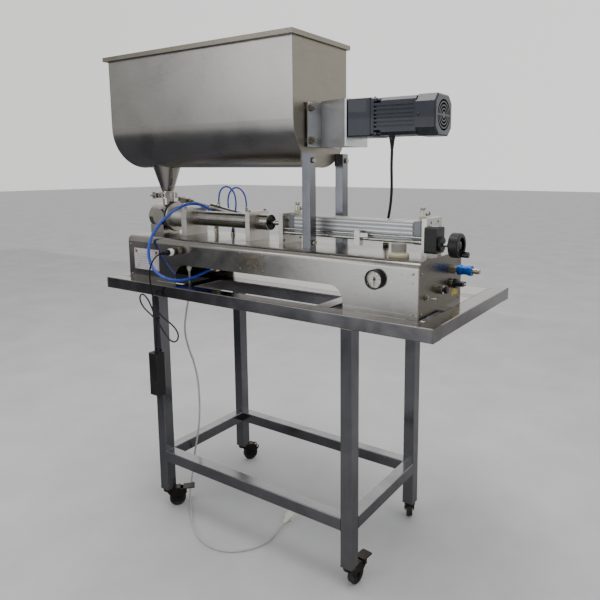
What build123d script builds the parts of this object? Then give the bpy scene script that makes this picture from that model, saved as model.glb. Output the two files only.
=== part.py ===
"""Horizontal pneumatic piston filler with an agitated hopper, on a wheeled stainless table.

+X runs from the filling valve to the adjuster handwheel, +Y to the back, +Z up.
The origin is on the floor under the middle of the table.
"""
from build123d import *
import math
import os

# ---------------------------------------------------------------- driving dimensions (mm)
table_half_x = 636.0
table_half_y = 299.5
table_top = 812.0
rail_width = 50.0
rail_height = 38.0
leg_size = 38.0
leg_left_x = -379.0
leg_right_x = 385.0
leg_front_y = -280.5
leg_back_y = 109.0
leg_bottom = 70.0
stretcher_top = 219.0
tube_wall = 1.5

wheel_radius = 28.0
wheel_width = 20.0
caster_offset = 30.0
caster_angles = {"front_left": 47.0, "front_right": 84.0, "back_left": 60.0, "back_right": 118.0}
braked_casters = ("front_left", "front_right")

housing_half_x = 570.0
housing_left = -567.0
housing_front = -250.0
housing_back = 34.0
housing_height = 151.0
housing_corner = 20.0
arch_left_x = -333.0
arch_right_x = 342.0
arch_height = 66.0
sheet = 2.0

line_y = -97.0
housing_top = table_top + housing_height
axis_z = housing_top + 60.0

valve_x = -530.0
valve_radius = 47.0
outlet_bore = 17.5
crank_length = 59.0
tube_radius = 26.5
tube_right = -36.0
rod_radius = 8.0

plate_front = -147.0
plate_back = -47.0
plate_top = 1058.0
profile_half = 31.0
air_left = 85.0
air_right = 495.0
end_plate_x = 529.0
end_plate = 15.0

adjuster_y = -138.0
adjuster_z = 999.0
guide_rod_z = 1012.0
guide_rod_radius = 3.0
screw_radius = 4.0
wheel_start = 612.0
wheel_thick = 28.0
hand_radius = 33.0
grip_drop = 23.0
grip_end = 660.0

hopper_half_width = 138.0
hopper_left = -648.0
hopper_right = 168.0
hopper_rim_top = 1581.0
hopper_rim = 14.0
agitator_z = 1339.0
paddle_radius = 118.0

post_size = 30.0
post_left = hopper_right
post_top = 1243.0
post_offset = 88.0

gear_half = 53.0
flange_x = 174.0
bracket_right = 284.0
bracket_low = 1261.0
bracket_high = 1395.0
gearbox_left = 296.0
gearbox_right = 367.0
motor_left = 378.0
motor_right = 505.0
fan_cover_right = 563.0

right_panel = housing_half_x + 3.0
coupler_y = -28.0
coupler_z = 915.0
coupler_tip = 652.0
sleeve_left = 588.0
sleeve_right = 631.0
knob_y = -26.0
knob_z = 874.0
button_y = -122.0
button_z = 873.0
toggle_y = -210.0
toggle_z = 866.0

gauge_x = 447.0
gauge_z = 909.0
gauge_radius = 27.0
socket_x = -312.0
socket_z = 925.0

running_gap = 0.05
body_gap = 0.4

os.makedirs("parts", exist_ok=True)


# ---------------------------------------------------------------- helpers
def block(x0, x1, y0, y1, z0, z1):
    """A box between two corners."""
    middle = Pos((x0 + x1) / 2, (y0 + y1) / 2, (z0 + z1) / 2)
    return middle * Box(abs(x1 - x0), abs(y1 - y0), abs(z1 - z0))


def bar_x(x0, x1, y, z, radius):
    """A round bar along X."""
    return Pos((x0 + x1) / 2, y, z) * Rot(0, 90, 0) * Cylinder(radius, abs(x1 - x0))


def bar_y(y0, y1, x, z, radius):
    """A round bar along Y."""
    return Pos(x, (y0 + y1) / 2, z) * Rot(90, 0, 0) * Cylinder(radius, abs(y1 - y0))


def bar_z(z0, z1, x, y, radius):
    """A round bar along Z."""
    return Pos(x, y, (z0 + z1) / 2) * Cylinder(radius, abs(z1 - z0))


def ring_x(x0, x1, y, z, outer, inner):
    """A round ring along X."""
    return bar_x(x0, x1, y, z, outer) - bar_x(x0 - 1, x1 + 1, y, z, inner)


def cone_x(x0, x1, y, z, radius0, radius1):
    """A cone along +X from radius0 at x0 to radius1 at x1."""
    return Pos((x0 + x1) / 2, y, z) * Rot(0, 90, 0) * Cone(radius0, radius1, x1 - x0)


def hex_x(x0, x1, y, z, across):
    """A hexagon bar along X, of that width across its flats."""
    outline = RegularPolygon(across / 2, 6, major_radius=False)
    return Pos(x0, y, z) * Rot(0, 90, 0) * extrude(outline, x1 - x0)


def box_tube(x0, x1, y0, y1, z0, z1, along):
    """A closed square tube with rounded long edges and one weld vent."""
    outer = block(x0, x1, y0, y1, z0, z1)
    outer = fillet(outer.edges().filter_by(along), 2.5)
    inner = block(x0 + tube_wall, x1 - tube_wall, y0 + tube_wall, y1 - tube_wall,
                  z0 + tube_wall, z1 - tube_wall)
    middle_x = (x0 + x1) / 2
    middle_y = (y0 + y1) / 2
    if along == Axis.Z:
        vent = bar_y(middle_y, y1 + 1, middle_x, z1 - 60, 3)
    else:
        vent = bar_z(z0 - 1, z0 + rail_height / 2, middle_x, middle_y, 3)
    return outer - inner - vent


def outline_xz(points, y0, y1):
    """A closed straight-sided outline in (X, Z), extruded from y0 to y1."""
    face = make_face(Polyline(*[(x, z) for x, z in points], close=True))
    turned = Plane(origin=(0, y1, 0), x_dir=(1, 0, 0), z_dir=(0, -1, 0))
    return turned * extrude(face, y1 - y0)


def outline_xy(points, z0, z1):
    """A closed straight-sided outline in (X, Y), extruded from z0 to z1."""
    face = make_face(Polyline(*points, close=True))
    return Pos(0, 0, z0) * extrude(face, z1 - z0)


def solids_of(shapes):
    """All the solids in a shape or a list of shapes."""
    if not isinstance(shapes, (list, tuple)):
        shapes = [shapes]
    found = []
    for shape in shapes:
        found.extend(shape.solids())
    return found


def save(name, shapes):
    """Write one node's solids to parts/NAME.step."""
    found = solids_of(shapes)
    whole = found[0] if len(found) == 1 else Compound(children=found)
    whole.label = name
    export_step(whole, "parts/" + name + ".step")


def cord_tube(name, points, diameter):
    """A cord: straight runs joined by arcs as large as the two runs allow."""
    places = [Vector(*p) for p in points]
    radii = []
    for before, here, after in zip(places, places[1:], places[2:]):
        run_in = here - before
        run_out = after - here
        turn = math.radians(run_in.get_angle(run_out))
        shorter = min(run_in.length, run_out.length)
        radii.append(0.45 * shorter / math.tan(turn / 2))
    path = FilletPolyline(*points, radius=radii)
    start = path.position_at(0)
    heading = path.tangent_at(0)
    section = Plane(origin=start, z_dir=heading) * Circle(diameter / 2)
    tube = sweep(section, path=path)
    ideal = math.pi * diameter ** 2 / 4 * path.length
    smallest = min(radii) / diameter
    print(f"{name}: length {path.length:.0f}, smallest radius {smallest:.1f} d,"
          f" volume ratio {tube.volume / ideal:.4f}")
    print("   radii", [round(r) for r in radii])
    save(name, tube)


# ---------------------------------------------------------------- table
def table_rails():
    """Top frame: front, back, ends, two cross rails and two long inner rails."""
    bottom = table_top - rail_height
    inner_x = table_half_x - rail_width
    inner_y = table_half_y - rail_width
    rails = [
        box_tube(-table_half_x, table_half_x, -table_half_y, -inner_y, bottom, table_top, Axis.X),
        box_tube(-table_half_x, table_half_x, inner_y, table_half_y, bottom, table_top, Axis.X),
    ]
    for side in (-1, 1):
        near = side * inner_x
        far = side * table_half_x
        rails.append(box_tube(min(near, far), max(near, far), -inner_y, inner_y,
                              bottom, table_top, Axis.Y))
    for left in (-300.0, 250.0):
        rails.append(box_tube(left, left + rail_width, -inner_y, -112, bottom, table_top, Axis.Y))
    for front in (-112.0, leg_back_y - rail_width / 2):
        rails.append(box_tube(-inner_x, inner_x, front, front + rail_width,
                              bottom, table_top, Axis.X))
    return rails


def shelf_sheet():
    """Thin sheet let in flush between the long inner rails and behind them."""
    inner_x = table_half_x - rail_width
    inner_y = table_half_y - rail_width
    front = -112 + rail_width
    middle = leg_back_y - rail_width / 2
    low = table_top - 1.5
    return [
        block(-inner_x, inner_x, front, middle, low, table_top),
        block(-inner_x, inner_x, middle + rail_width, inner_y, low, table_top),
    ]


def leg_places():
    """The caster corner names and their leg centres."""
    return {
        "front_left": (leg_left_x, leg_front_y),
        "front_right": (leg_right_x, leg_front_y),
        "back_left": (leg_left_x, leg_back_y),
        "back_right": (leg_right_x, leg_back_y),
    }


def leg_frame():
    """Four legs, each with a caster plate, and four stretchers."""
    half = leg_size / 2
    top = table_top - rail_height
    pieces = []
    for x, y in leg_places().values():
        pieces.append(box_tube(x - half, x + half, y - half, y + half,
                               leg_bottom + 4, top, Axis.Z))
        plate = block(x - half, x + half, y - half, y + half, leg_bottom, leg_bottom + 4)
        pieces.append(plate - bar_z(leg_bottom - 1, leg_bottom + 5, x, y, 5))
    low = stretcher_top - leg_size
    for y in (leg_front_y, leg_back_y):
        pieces.append(box_tube(leg_left_x + half, leg_right_x - half, y - half, y + half,
                               low, stretcher_top, Axis.X))
    for x in (leg_left_x, leg_right_x):
        pieces.append(box_tube(x - half, x + half, leg_front_y + half, leg_back_y - half,
                               low, stretcher_top, Axis.Y))
    return pieces


# ---------------------------------------------------------------- casters
def caster_place(corner):
    """Where a caster's own frame lies: swivel axis at its origin, trailing along +X."""
    x, y = leg_places()[corner]
    return Pos(x, y, 0) * Rot(0, 0, caster_angles[corner])


def caster_fork():
    """Crown, king pin and two cheeks in one pressing, with its axle bolt beside it."""
    crown_top = leg_bottom - 1.0
    crown_low = crown_top - 4.0
    fork = bar_z(crown_low, crown_top, 0, 0, 17.5)
    fork += block(-8, 40, -14.5, 14.5, crown_low, crown_top)
    fork += bar_z(crown_top, leg_bottom + 4, 0, 0, 5 - running_gap)
    cheek = [(-14, crown_top), (30, crown_top), (62, 59), (62, 48), (44, 30), (38, 18),
             (24, 18), (14, 30)]
    for y in (-14.5, 12.0):
        fork += outline_xz(cheek, y, y + 2.5)
    fork -= bar_y(-20, 20, caster_offset, wheel_radius, 4)
    fork -= bar_y(-20, 20, 56, 54, 3 + running_gap)
    axle = bar_y(-14.5, 14.5, caster_offset, wheel_radius, 4)
    axle += bar_y(-17.5, -14.5, caster_offset, wheel_radius, 6.5)
    axle += bar_y(14.5, 17.5, caster_offset, wheel_radius, 6.5)
    return [fork, axle]


def caster_wheel():
    """Tyre and hub turned as one wheel with dished sides."""
    half = wheel_width / 2
    wheel = bar_y(-half, half, caster_offset, wheel_radius, wheel_radius)
    wheel = fillet(wheel.edges(), 3)
    for side in (-1, 1):
        dish = bar_y(side * (half - 3), side * (half + 1), caster_offset, wheel_radius, 20)
        dish -= bar_y(side * (half - 4), side * (half + 2), caster_offset, wheel_radius, 8)
        wheel -= dish
    return wheel - bar_y(-half - 1, half + 1, caster_offset, wheel_radius, 4 + running_gap)


def caster_brake():
    """Pedal plate, two ears outside the cheeks, and the pivot pin through them."""
    pedal = block(50, 90, -17.5, 17.5, 63.5, 66.5)
    pedal = fillet(pedal.edges().filter_by(Axis.Z), 4)
    for y in (-17.5, 15.0):
        pedal += block(50, 62, y, y + 2.5, 49, 65)
    pedal += bar_y(-17.5, 17.5, 56, 54, 3)
    return pedal + block(51.5, 60, -9.5, 9.5, 49.5, 58)


# ---------------------------------------------------------------- housing
def housing_outline(inset, x0, x1):
    """The housing's rounded-top section, inset all round, as a solid along X."""
    solid = block(x0, x1, housing_front + inset, housing_back - inset,
                  table_top, housing_top - inset)
    top_edges = solid.edges().filter_by(Axis.X).group_by(Axis.Z)[-1]
    return fillet(top_edges, housing_corner - inset)


def arch_cut(y0, y1):
    """The arch's opening through the long walls, with rounded upper corners."""
    cut = block(arch_left_x, arch_right_x, y0, y1, table_top - 5, table_top + arch_height)
    top_edges = cut.edges().filter_by(Axis.Y).group_by(Axis.Z)[-1]
    return fillet(top_edges, 45)


def housing_cover():
    """Front, top and back in one bent sheet, arched below, with a floor over the arch."""
    cover = housing_outline(0, housing_left, housing_half_x)
    cavity = housing_outline(sheet, housing_left - 1, housing_half_x + 1)
    cover -= cavity - block(-700, 700, -400, 400, table_top - 50, table_top - 1)
    cover -= block(-600, 600, housing_front + sheet, housing_back - sheet,
                   table_top - 1, table_top + 5)
    cover -= arch_cut(housing_front - 5, housing_back + 5)
    floor_z = table_top + arch_height
    cover += block(arch_left_x, arch_right_x, housing_front + 1, housing_back - 1,
                   floor_z, floor_z + sheet)
    cover -= bar_y(housing_front - 5, housing_front + 5, gauge_x, gauge_z, 18)
    cover -= bar_y(housing_front - 5, housing_front + 5, socket_x, socket_z, 8)
    return cover


def panel_holes():
    """The right end panel's holes: coupler, knob, button and toggle."""
    holes = [
        bar_x(500, 600, coupler_y, coupler_z, 6.0),
        bar_x(500, 600, knob_y, knob_z, 4.0),
        bar_x(500, 600, button_y, button_z, 5.0),
        bar_x(500, 600, toggle_y, toggle_z, 5.0),
    ]
    return holes


def housing_ends():
    """The two end panels, flush round the bent cover."""
    left = housing_outline(0, housing_left - 3, housing_left)
    right = housing_outline(0, housing_half_x, right_panel)
    for hole in panel_holes():
        right -= hole
    return [left, right]


def screw_y(x, z, radius=3.5):
    """A domed screw head on the housing's front face."""
    head = bar_y(housing_front - 2.2, housing_front, x, z, radius)
    return fillet(head.edges().group_by(Axis.Y)[0], 1.5)


def screw_x(y, z, radius=3.5):
    """A domed screw head on the right end panel."""
    head = bar_x(right_panel, right_panel + 2.2, y, z, radius)
    return fillet(head.edges().group_by(Axis.X)[-1], 1.5)


def housing_screws():
    """Screws of the front hatch and of the end panels' edges."""
    heads = []
    for x in (-36.0, 55.0):
        for z in (891.0, 939.0):
            heads.append(screw_y(x, z))
    for z in (table_top + 14, table_top + 120):
        heads.append(screw_y(housing_left + 10, z))
        heads.append(screw_y(housing_half_x - 14, z))
        heads.append(screw_x(housing_front + 12, z))
        heads.append(screw_x(housing_back - 12, z))
    return heads


# ---------------------------------------------------------------- gauge and controls
def gauge_case():
    """Round gauge case with its bezel, dial plate and, apart, its window."""
    face = housing_front
    case = bar_y(face - 16, face - 0.0, gauge_x, gauge_z, gauge_radius)
    case = fillet(case.edges().group_by(Axis.Y)[0], 3)
    case += bar_y(face, face + 34, gauge_x, gauge_z, 17)
    case -= bar_y(face - 17, face - 6, gauge_x, gauge_z, gauge_radius - 4)
    case += bar_y(face - 9.5, face - 5, gauge_x, gauge_z, 2.0)
    window = bar_y(face - 15.5, face - 14, gauge_x, gauge_z, gauge_radius - 4)
    return [case, window]


def gauge_pointer():
    """Needle and boss on the dial's post."""
    face = housing_front
    boss = bar_y(face - 11.5, face - 8, gauge_x, gauge_z, 3.5)
    boss += outline_xz([(gauge_x - 1.4, gauge_z), (gauge_x + 1.4, gauge_z),
                        (gauge_x + 0.4, gauge_z - 18), (gauge_x - 0.4, gauge_z - 18)],
                       face - 11, face - 10)
    boss += outline_xz([(gauge_x - 1.4, gauge_z), (gauge_x + 1.4, gauge_z),
                        (gauge_x + 2.0, gauge_z + 8), (gauge_x - 2.0, gauge_z + 8)],
                       face - 11, face - 10)
    boss -= bar_y(face - 10.0, face - 7, gauge_x, gauge_z, 2.0 + running_gap)
    return boss


def panel_fittings():
    """Fixed fittings of the housing: socket, collars, coupler stem, glands and cable cap."""
    face = housing_front
    socket = bar_y(face - 5, face, socket_x, socket_z, 12)
    socket += bar_y(face, face + 20, socket_x, socket_z, 7.5)
    socket += bar_y(face - 26, face - 5, socket_x, socket_z, 9.5)
    knob_collar = ring_x(right_panel, right_panel + 4, knob_y, knob_z, 14, 4)
    button_collar = ring_x(right_panel, right_panel + 12, button_y, button_z, 12, 5)
    toggle_bush = ring_x(right_panel, right_panel + 8, toggle_y, toggle_z, 6, 3.5)
    toggle_bush += hex_x(right_panel, right_panel + 3, toggle_y, toggle_z, 15) \
        - bar_x(right_panel - 1, right_panel + 9, toggle_y, toggle_z, 5)
    stem = hex_x(right_panel, right_panel + 10, coupler_y, coupler_z, 22)
    stem += bar_x(housing_half_x - 12, right_panel, coupler_y, coupler_z, 5.8)
    stem += bar_x(right_panel + 10, sleeve_right + 5, coupler_y, coupler_z, 8)
    stem += bar_x(sleeve_right + 5, coupler_tip, coupler_y, coupler_z, 7)
    stem += ring_x(sleeve_right + 9, coupler_tip - 6, coupler_y, coupler_z, 8.5, 5)
    cap_x = 478.0
    cap_y = -180.0
    cap = bar_z(housing_top, housing_top + 8, cap_x, cap_y, 27)
    cap += bar_z(housing_top + 8, housing_top + 36, cap_x, cap_y, 19.5)
    cap = fillet(cap.edges().group_by(Axis.Z)[-1], 3)
    glands = [
        bar_z(housing_top, housing_top + 12, 352, -22, 9),
        bar_z(housing_top, housing_top + 12, -245, -57, 7),
        bar_z(housing_top, housing_top + 12, -297, -1, 7),
        bar_z(housing_top, housing_top + 20, -325, -57, 8),
        block(-271, -253, -138, -120, table_top + arch_height - 34, table_top + arch_height),
        bar_z(table_top + arch_height - 14, table_top + arch_height, -318, -200, 8),
    ]
    return [socket, knob_collar, button_collar, toggle_bush, stem, cap] + glands


def air_coupler_sleeve():
    """Ribbed sliding sleeve of the quick coupler."""
    start = sleeve_left
    end = sleeve_right
    sleeve = bar_x(start, end, coupler_y, coupler_z, 12.5)
    for left in (start, end - 12):
        collar = bar_x(left, left + 12, coupler_y, coupler_z, 14.5)
        sleeve += fillet(collar.edges(), 1)
    return sleeve - bar_x(start - 1, end + 1, coupler_y, coupler_z, 8 + running_gap)


def selector_knob():
    """Round skirt with a raised lever bar, and its spindle through the panel."""
    start = right_panel + 4 + body_gap
    knob = bar_x(start, start + 8, knob_y, knob_z, 14)
    knob += bar_x(520, start, knob_y, knob_z, 4 - running_gap)
    lever = block(start + 8, start + 30, knob_y - 15, knob_y + 15, knob_z - 6, knob_z + 6)
    lever = fillet(lever.edges().filter_by(Axis.X), 5)
    return knob + lever


def push_button():
    """Mushroom-edged button on its plunger."""
    plunger = bar_x(540, right_panel + 20, button_y, button_z, 5 - running_gap)
    head = bar_x(right_panel + 16, right_panel + 25, button_y, button_z, 9.5)
    head = fillet(head.edges().group_by(Axis.X)[-1], 2)
    return plunger + head


def toggle_lever():
    """Bat lever that pivots in the toggle's bush."""
    pivot_x = right_panel + 5
    lever = bar_x(pivot_x - 3, pivot_x + 3, toggle_y, toggle_z, 2.8)
    lever += bar_x(pivot_x, pivot_x + 12, toggle_y, toggle_z, 1.7)
    lever += bar_x(pivot_x + 12, pivot_x + 25, toggle_y, toggle_z, 2.6)
    return fillet(lever.edges().group_by(Axis.X)[-1], 2.4)


# ---------------------------------------------------------------- filling valve
def valve_body():
    """Valve barrel with its inlet pipe, spindle bore, outlet ferrule, neck and pedestal."""
    body = bar_x(valve_x - 62, valve_x + 30, line_y, axis_z, valve_radius)
    body = fillet(body.edges().group_by(Axis.X)[0], 10)
    body += bar_x(valve_x + 30, valve_x + 34, line_y, axis_z, 52)
    body += bar_z(axis_z, 1097, valve_x, line_y, 20)
    body += bar_z(1092, 1097.5, valve_x, line_y, 30)
    body += bar_x(valve_x - 78, valve_x - 60, line_y, axis_z, 19)
    body += bar_x(valve_x - 84, valve_x - 78, line_y, axis_z, 25)
    body += block(valve_x - 58, valve_x + 12, line_y - 38, line_y + 38, housing_top, axis_z - 30)
    body -= bar_y(line_y - 60, line_y + 60, valve_x, axis_z, 30 + running_gap)
    body -= bar_z(axis_z, 1100, valve_x, line_y, 17)
    body -= bar_x(valve_x - 90, valve_x - 62, line_y, axis_z, outlet_bore)
    body -= bar_x(valve_x - 90, valve_x, line_y, axis_z, 15)
    body -= bar_x(valve_x, valve_x + 40, line_y, axis_z, 20)
    return body


def valve_rotor():
    """Three-way plug with an elbow passage, and its crank arm on the back."""
    front = line_y - 49
    back = line_y + 49
    plug = bar_y(front, back, valve_x, axis_z, 30)
    plug -= bar_z(axis_z, axis_z + 40, valve_x, line_y, 16)
    plug -= bar_x(valve_x, valve_x + 40, line_y, axis_z, 16)
    plug += bar_y(back, back + 14, valve_x, axis_z, 12)
    arm_near = back + 14
    arm_far = arm_near + 8
    crank = outline_xz([(valve_x - 14, axis_z - 12), (valve_x + 14, axis_z - 12),
                        (valve_x + 8.5, axis_z + crank_length),
                        (valve_x - 8.5, axis_z + crank_length)], arm_near, arm_far)
    crank += bar_y(arm_near, arm_far, valve_x, axis_z + crank_length, 9)
    crank -= bar_y(arm_near - 1, arm_far + 1, valve_x, axis_z + crank_length, 4)
    bolt = hex_bolt_y(arm_far, valve_x, axis_z, 17)
    return [plug, crank, bolt]


def hex_bolt_y(face, x, z, across):
    """A hexagon bolt head standing on a face that looks along +Y."""
    head = extrude(RegularPolygon(across / 2, 6, major_radius=False), 6)
    return Plane(origin=(x, face, z), x_dir=(1, 0, 0), z_dir=(0, 1, 0)) * head


def valve_gasket():
    """Black flange seal between the valve and the neck collar."""
    start = valve_x + 34
    return ring_x(start, start + 7, line_y, axis_z, 54, 20)


def pipe_clamp():
    """Two-half band round the pipe ferrules, with a hinge lug and a swing bolt."""
    band = bar_z(1090, 1110, valve_x, line_y, 35) - bar_z(1089, 1111, valve_x, line_y, 30.5)
    band += bar_z(1091, 1109, valve_x + 40, line_y, 8) - bar_z(1089, 1111, valve_x, line_y, 30.5)
    band += block(valve_x - 12, valve_x - 6, line_y - 50, line_y - 33, 1091, 1109)
    band += block(valve_x + 6, valve_x + 12, line_y - 50, line_y - 33, 1091, 1109)
    band -= block(valve_x - 6, valve_x + 6, line_y - 60, line_y - 20, 1080, 1120)
    bolt_y = line_y - 43
    band -= bar_x(valve_x - 14, valve_x + 14, bolt_y, 1100, 3.0)
    bolt = bar_x(valve_x - 44, valve_x + 12, bolt_y, 1100, 3.0)
    bolt += bar_x(valve_x + 12, valve_x + 17, bolt_y, 1100, 6.0)
    return [band, bolt]


def clamp_wing_nut():
    """Wing nut on the swing bolt."""
    bolt_y = line_y - 43
    start = valve_x - 25
    nut = bar_x(start, start + 12, bolt_y, 1100, 7)
    nut += block(start - 8, start + 6, bolt_y - 2, bolt_y + 2, 1088, 1112)
    return nut - bar_x(start - 12, start + 20, bolt_y, 1100, 3 + running_gap)


# ---------------------------------------------------------------- filling cylinder
def cylinder_blocks():
    """Two split clamp blocks: a lower foot and an upper cap each, and the neck collar."""
    blocks = []
    bore = bar_x(-500, 0, line_y, axis_z, tube_radius)
    for x0, x1 in ((-408.0, -382.0), (-104.0, -86.0)):
        lower = block(x0, x1, plate_front, plate_back, housing_top, axis_z - 0.4) - bore
        upper = block(x0, x1, plate_front, plate_back, axis_z + 0.4, plate_top) - bore
        blocks.extend([lower, upper])
    collar = ring_x(valve_x + 41, -408.0, line_y, axis_z, 38, tube_radius)
    collar += ring_x(valve_x + 41, valve_x + 49, line_y, axis_z, 52, tube_radius)
    blocks.append(collar)
    return blocks


def material_tube():
    """The honed filling barrel with rounded end lips."""
    start = valve_x + 41
    return ring_x(start, tube_right, line_y, axis_z, tube_radius, tube_radius - 2.0)


def piston_rod():
    """Rubber filling piston, common rod and air piston on one line."""
    inner = tube_radius - 2.0 - running_gap
    face = tube_right - 6
    cup = bar_x(face - 30, face, line_y, axis_z, inner)
    for groove in (face - 22, face - 12):
        cup -= ring_x(groove, groove + 4, line_y, axis_z, inner + 2, inner - 2)
    cup -= bar_x(face - 8, face + 1, line_y, axis_z, rod_radius)
    rod = bar_x(face - 8, air_right - 40, line_y, axis_z, rod_radius)
    air_inner = profile_half - 6 - running_gap
    air_piston = ring_x(air_right - 62, air_right - 44, line_y, axis_z, air_inner, rod_radius)
    return [cup, rod, air_piston]


# ---------------------------------------------------------------- air cylinder and adjuster
def cylinder_plates():
    """Upright plates at the two ends of the air cylinder."""
    left = block(36, 52, plate_front, plate_back, housing_top, plate_top + 2)
    left -= bar_x(30, 60, line_y, axis_z, rod_radius + 2)
    right = block(end_plate_x, end_plate_x + end_plate, plate_front, plate_back,
                  housing_top, plate_top + 7)
    for y in (-120.0, -74.0):
        right -= bar_x(end_plate_x - 5, end_plate_x + end_plate + 5, y, plate_top - 5, 4)
    screw_bore = bar_x(30, 600, adjuster_y, adjuster_z, screw_radius + running_gap)
    rod_bore = bar_x(30, 600, adjuster_y, guide_rod_z, guide_rod_radius)
    return [left - screw_bore - rod_bore, right - screw_bore - rod_bore]


def air_cylinder():
    """Grooved profile barrel, two end caps, their nose rings and tie nuts, and two throttles."""
    half = profile_half
    profile = block(air_left, air_right, line_y - half, line_y + half,
                    axis_z - half, axis_z + half)
    profile = fillet(profile.edges().filter_by(Axis.X), 5)
    for offset in (-21.0, -12.5, 12.5, 21.0):
        profile -= block(air_left - 1, air_right + 1, line_y - half - 1, line_y - half + 2,
                         axis_z + offset - 2, axis_z + offset + 2)
        profile -= block(air_left - 1, air_right + 1, line_y + offset - 2, line_y + offset + 2,
                         axis_z + half - 2, axis_z + half + 1)
    profile -= bar_x(air_left - 1, air_right + 1, line_y, axis_z, half - 6)
    pieces = [profile]
    for x0, x1 in ((air_left - 22, air_left), (air_right, air_right + 24)):
        cap = block(x0, x1, line_y - half, line_y + half, axis_z - half, axis_z + half)
        cap = fillet(cap.edges().filter_by(Axis.X), 6)
        pieces.append(cap - bar_x(x0 - 1, x1 + 1, line_y, axis_z, rod_radius + running_gap))
    nose = ring_x(52, air_left - 22, line_y, axis_z, 18, rod_radius + running_gap)
    pieces.append(nose)
    for y in (line_y - 21, line_y + 21):
        for z in (axis_z - 21, axis_z + 21):
            pieces.append(bar_x(52, air_left - 22, y, z, 5.5))
            pieces.append(bar_x(air_right + 24, end_plate_x, y, z, 5.5))
    pieces.append(bar_x(air_right + 24, end_plate_x, line_y, axis_z, 14))
    top = axis_z + half
    for x in (air_left - 12, 508.0):
        stem = bar_z(top, top + 12, x, line_y, 6)
        stem += bar_z(top + 12, top + 30, x, line_y, 8)
        stem += bar_z(top + 30, top + 38, x, line_y, 5)
        pieces.append(stem)
    return pieces


def guide_rod():
    """Round rod that keeps the stroke carriage upright."""
    return bar_x(36, end_plate_x + end_plate, adjuster_y, guide_rod_z, guide_rod_radius)


def lead_screw():
    """Long adjusting screw between the end plates, through the counter."""
    screw = bar_x(30, 630, adjuster_y, adjuster_z, screw_radius)
    return screw + bar_x(588, 604, adjuster_y, adjuster_z, 6.5)


def sensor_carriage():
    """Threaded carriage that carries the stroke switch."""
    carriage = block(318, 336, adjuster_y - 13, adjuster_y + 7, 978, 1022)
    carriage -= bar_x(310, 345, adjuster_y, adjuster_z, screw_radius + running_gap)
    carriage -= bar_x(310, 345, adjuster_y, guide_rod_z, guide_rod_radius + running_gap)
    switch = block(336, 362, adjuster_y - 12, adjuster_y - 5, 1004, 1016)
    return [carriage, switch]


def position_counter():
    """Counter box round the screw, on the right end plate."""
    start = end_plate_x + end_plate
    counter = block(start, start + 35, adjuster_y - 26, adjuster_y + 28, 974, 1044)
    counter = fillet(counter.edges().filter_by(Axis.X), 6)
    counter += bar_x(start + 35, start + 43, adjuster_y, adjuster_z, 20)
    return counter - bar_x(start - 5, start + 50, adjuster_y, adjuster_z,
                           screw_radius + running_gap)


def handwheel():
    """Thick round handwheel with one open web hole, a hub, and the grip's stub pin."""
    start = wheel_start
    end = wheel_start + wheel_thick
    wheel = bar_x(start, end, adjuster_y, adjuster_z, hand_radius)
    wheel = fillet(wheel.edges(), 4)
    wheel -= bar_x(end - 12, end + 1, adjuster_y, adjuster_z, hand_radius - 11)
    wheel += bar_x(start - 8, end - 6, adjuster_y, adjuster_z, 12)
    wheel += bar_x(start, end, adjuster_y, adjuster_z - grip_drop, 8)
    wheel -= bar_x(start - 10, start + 18, adjuster_y, adjuster_z, screw_radius)
    return wheel + bar_x(end, grip_end - 5, adjuster_y, adjuster_z - grip_drop, 3)


def handwheel_grip():
    """Turned grip that spins on the stub pin."""
    start = wheel_start + wheel_thick
    grip = bar_x(start + body_gap, grip_end, adjuster_y, adjuster_z - grip_drop, 8)
    grip = fillet(grip.edges(), 2)
    return grip - bar_x(start, grip_end - 4.6, adjuster_y, adjuster_z - grip_drop,
                        3 + running_gap)


# ---------------------------------------------------------------- valve actuator
actuator_y = line_y + 67.0
actuator_tail_x = -160.0
actuator_tail_z = 1022.0
pin_z = axis_z + crank_length
actuator_run = valve_x - actuator_tail_x
actuator_rise = pin_z - actuator_tail_z
actuator_tilt = math.degrees(math.atan2(actuator_rise, -actuator_run))
actuator_length = math.hypot(actuator_run, actuator_rise)


def actuator_place():
    """The actuator's frame: crank pin at its origin, +X down the barrel to the tail."""
    return Pos(valve_x, actuator_y, pin_z) * Rot(0, actuator_tilt, 0)


def actuator_barrel():
    """Round barrel with its two heads, a tail lug, a foot bracket and two port fittings."""
    barrel = bar_x(168, 345, 0, 0, 14)
    barrel += bar_x(160, 186, 0, 0, 16)
    barrel += bar_x(325, 352, 0, 0, 16)
    barrel -= bar_x(159, 300, 0, 0, 5 + running_gap)
    barrel -= bar_x(180, 330, 0, 0, 12)
    barrel += block(350, actuator_length + 8, -6, 6, -10, 10)
    barrel = actuator_place() * barrel
    bracket = block(actuator_tail_x - 10, actuator_tail_x + 10, actuator_y - 8, actuator_y + 8,
                    housing_top, actuator_tail_z - 10.5)
    bracket += block(actuator_tail_x - 22, actuator_tail_x + 22, actuator_y - 15, actuator_y + 15,
                     housing_top, housing_top + 4)
    front_port = bar_z(1064, 1071, -337, actuator_y, 4.5)
    rear_port = bar_z(1042, 1056, -203, actuator_y, 4.5)
    whole = barrel + bracket + front_port + rear_port
    return whole


def actuator_rod():
    """Rod with its piston, lock nut and fork, open at the crank pin."""
    rod = bar_x(20, 244, 0, 0, 5)
    rod += bar_x(230, 244, 0, 0, 12 - running_gap)
    rod += bar_x(48, 56, 0, 0, 9)
    fork = block(-10, 34, -12, 12, -9, 9)
    fork -= block(-12, 16, -5.5, 5.5, -12, 12)
    fork -= bar_y(-20, 20, 0, 0, 4)
    return actuator_place() * (rod + fork)


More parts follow.
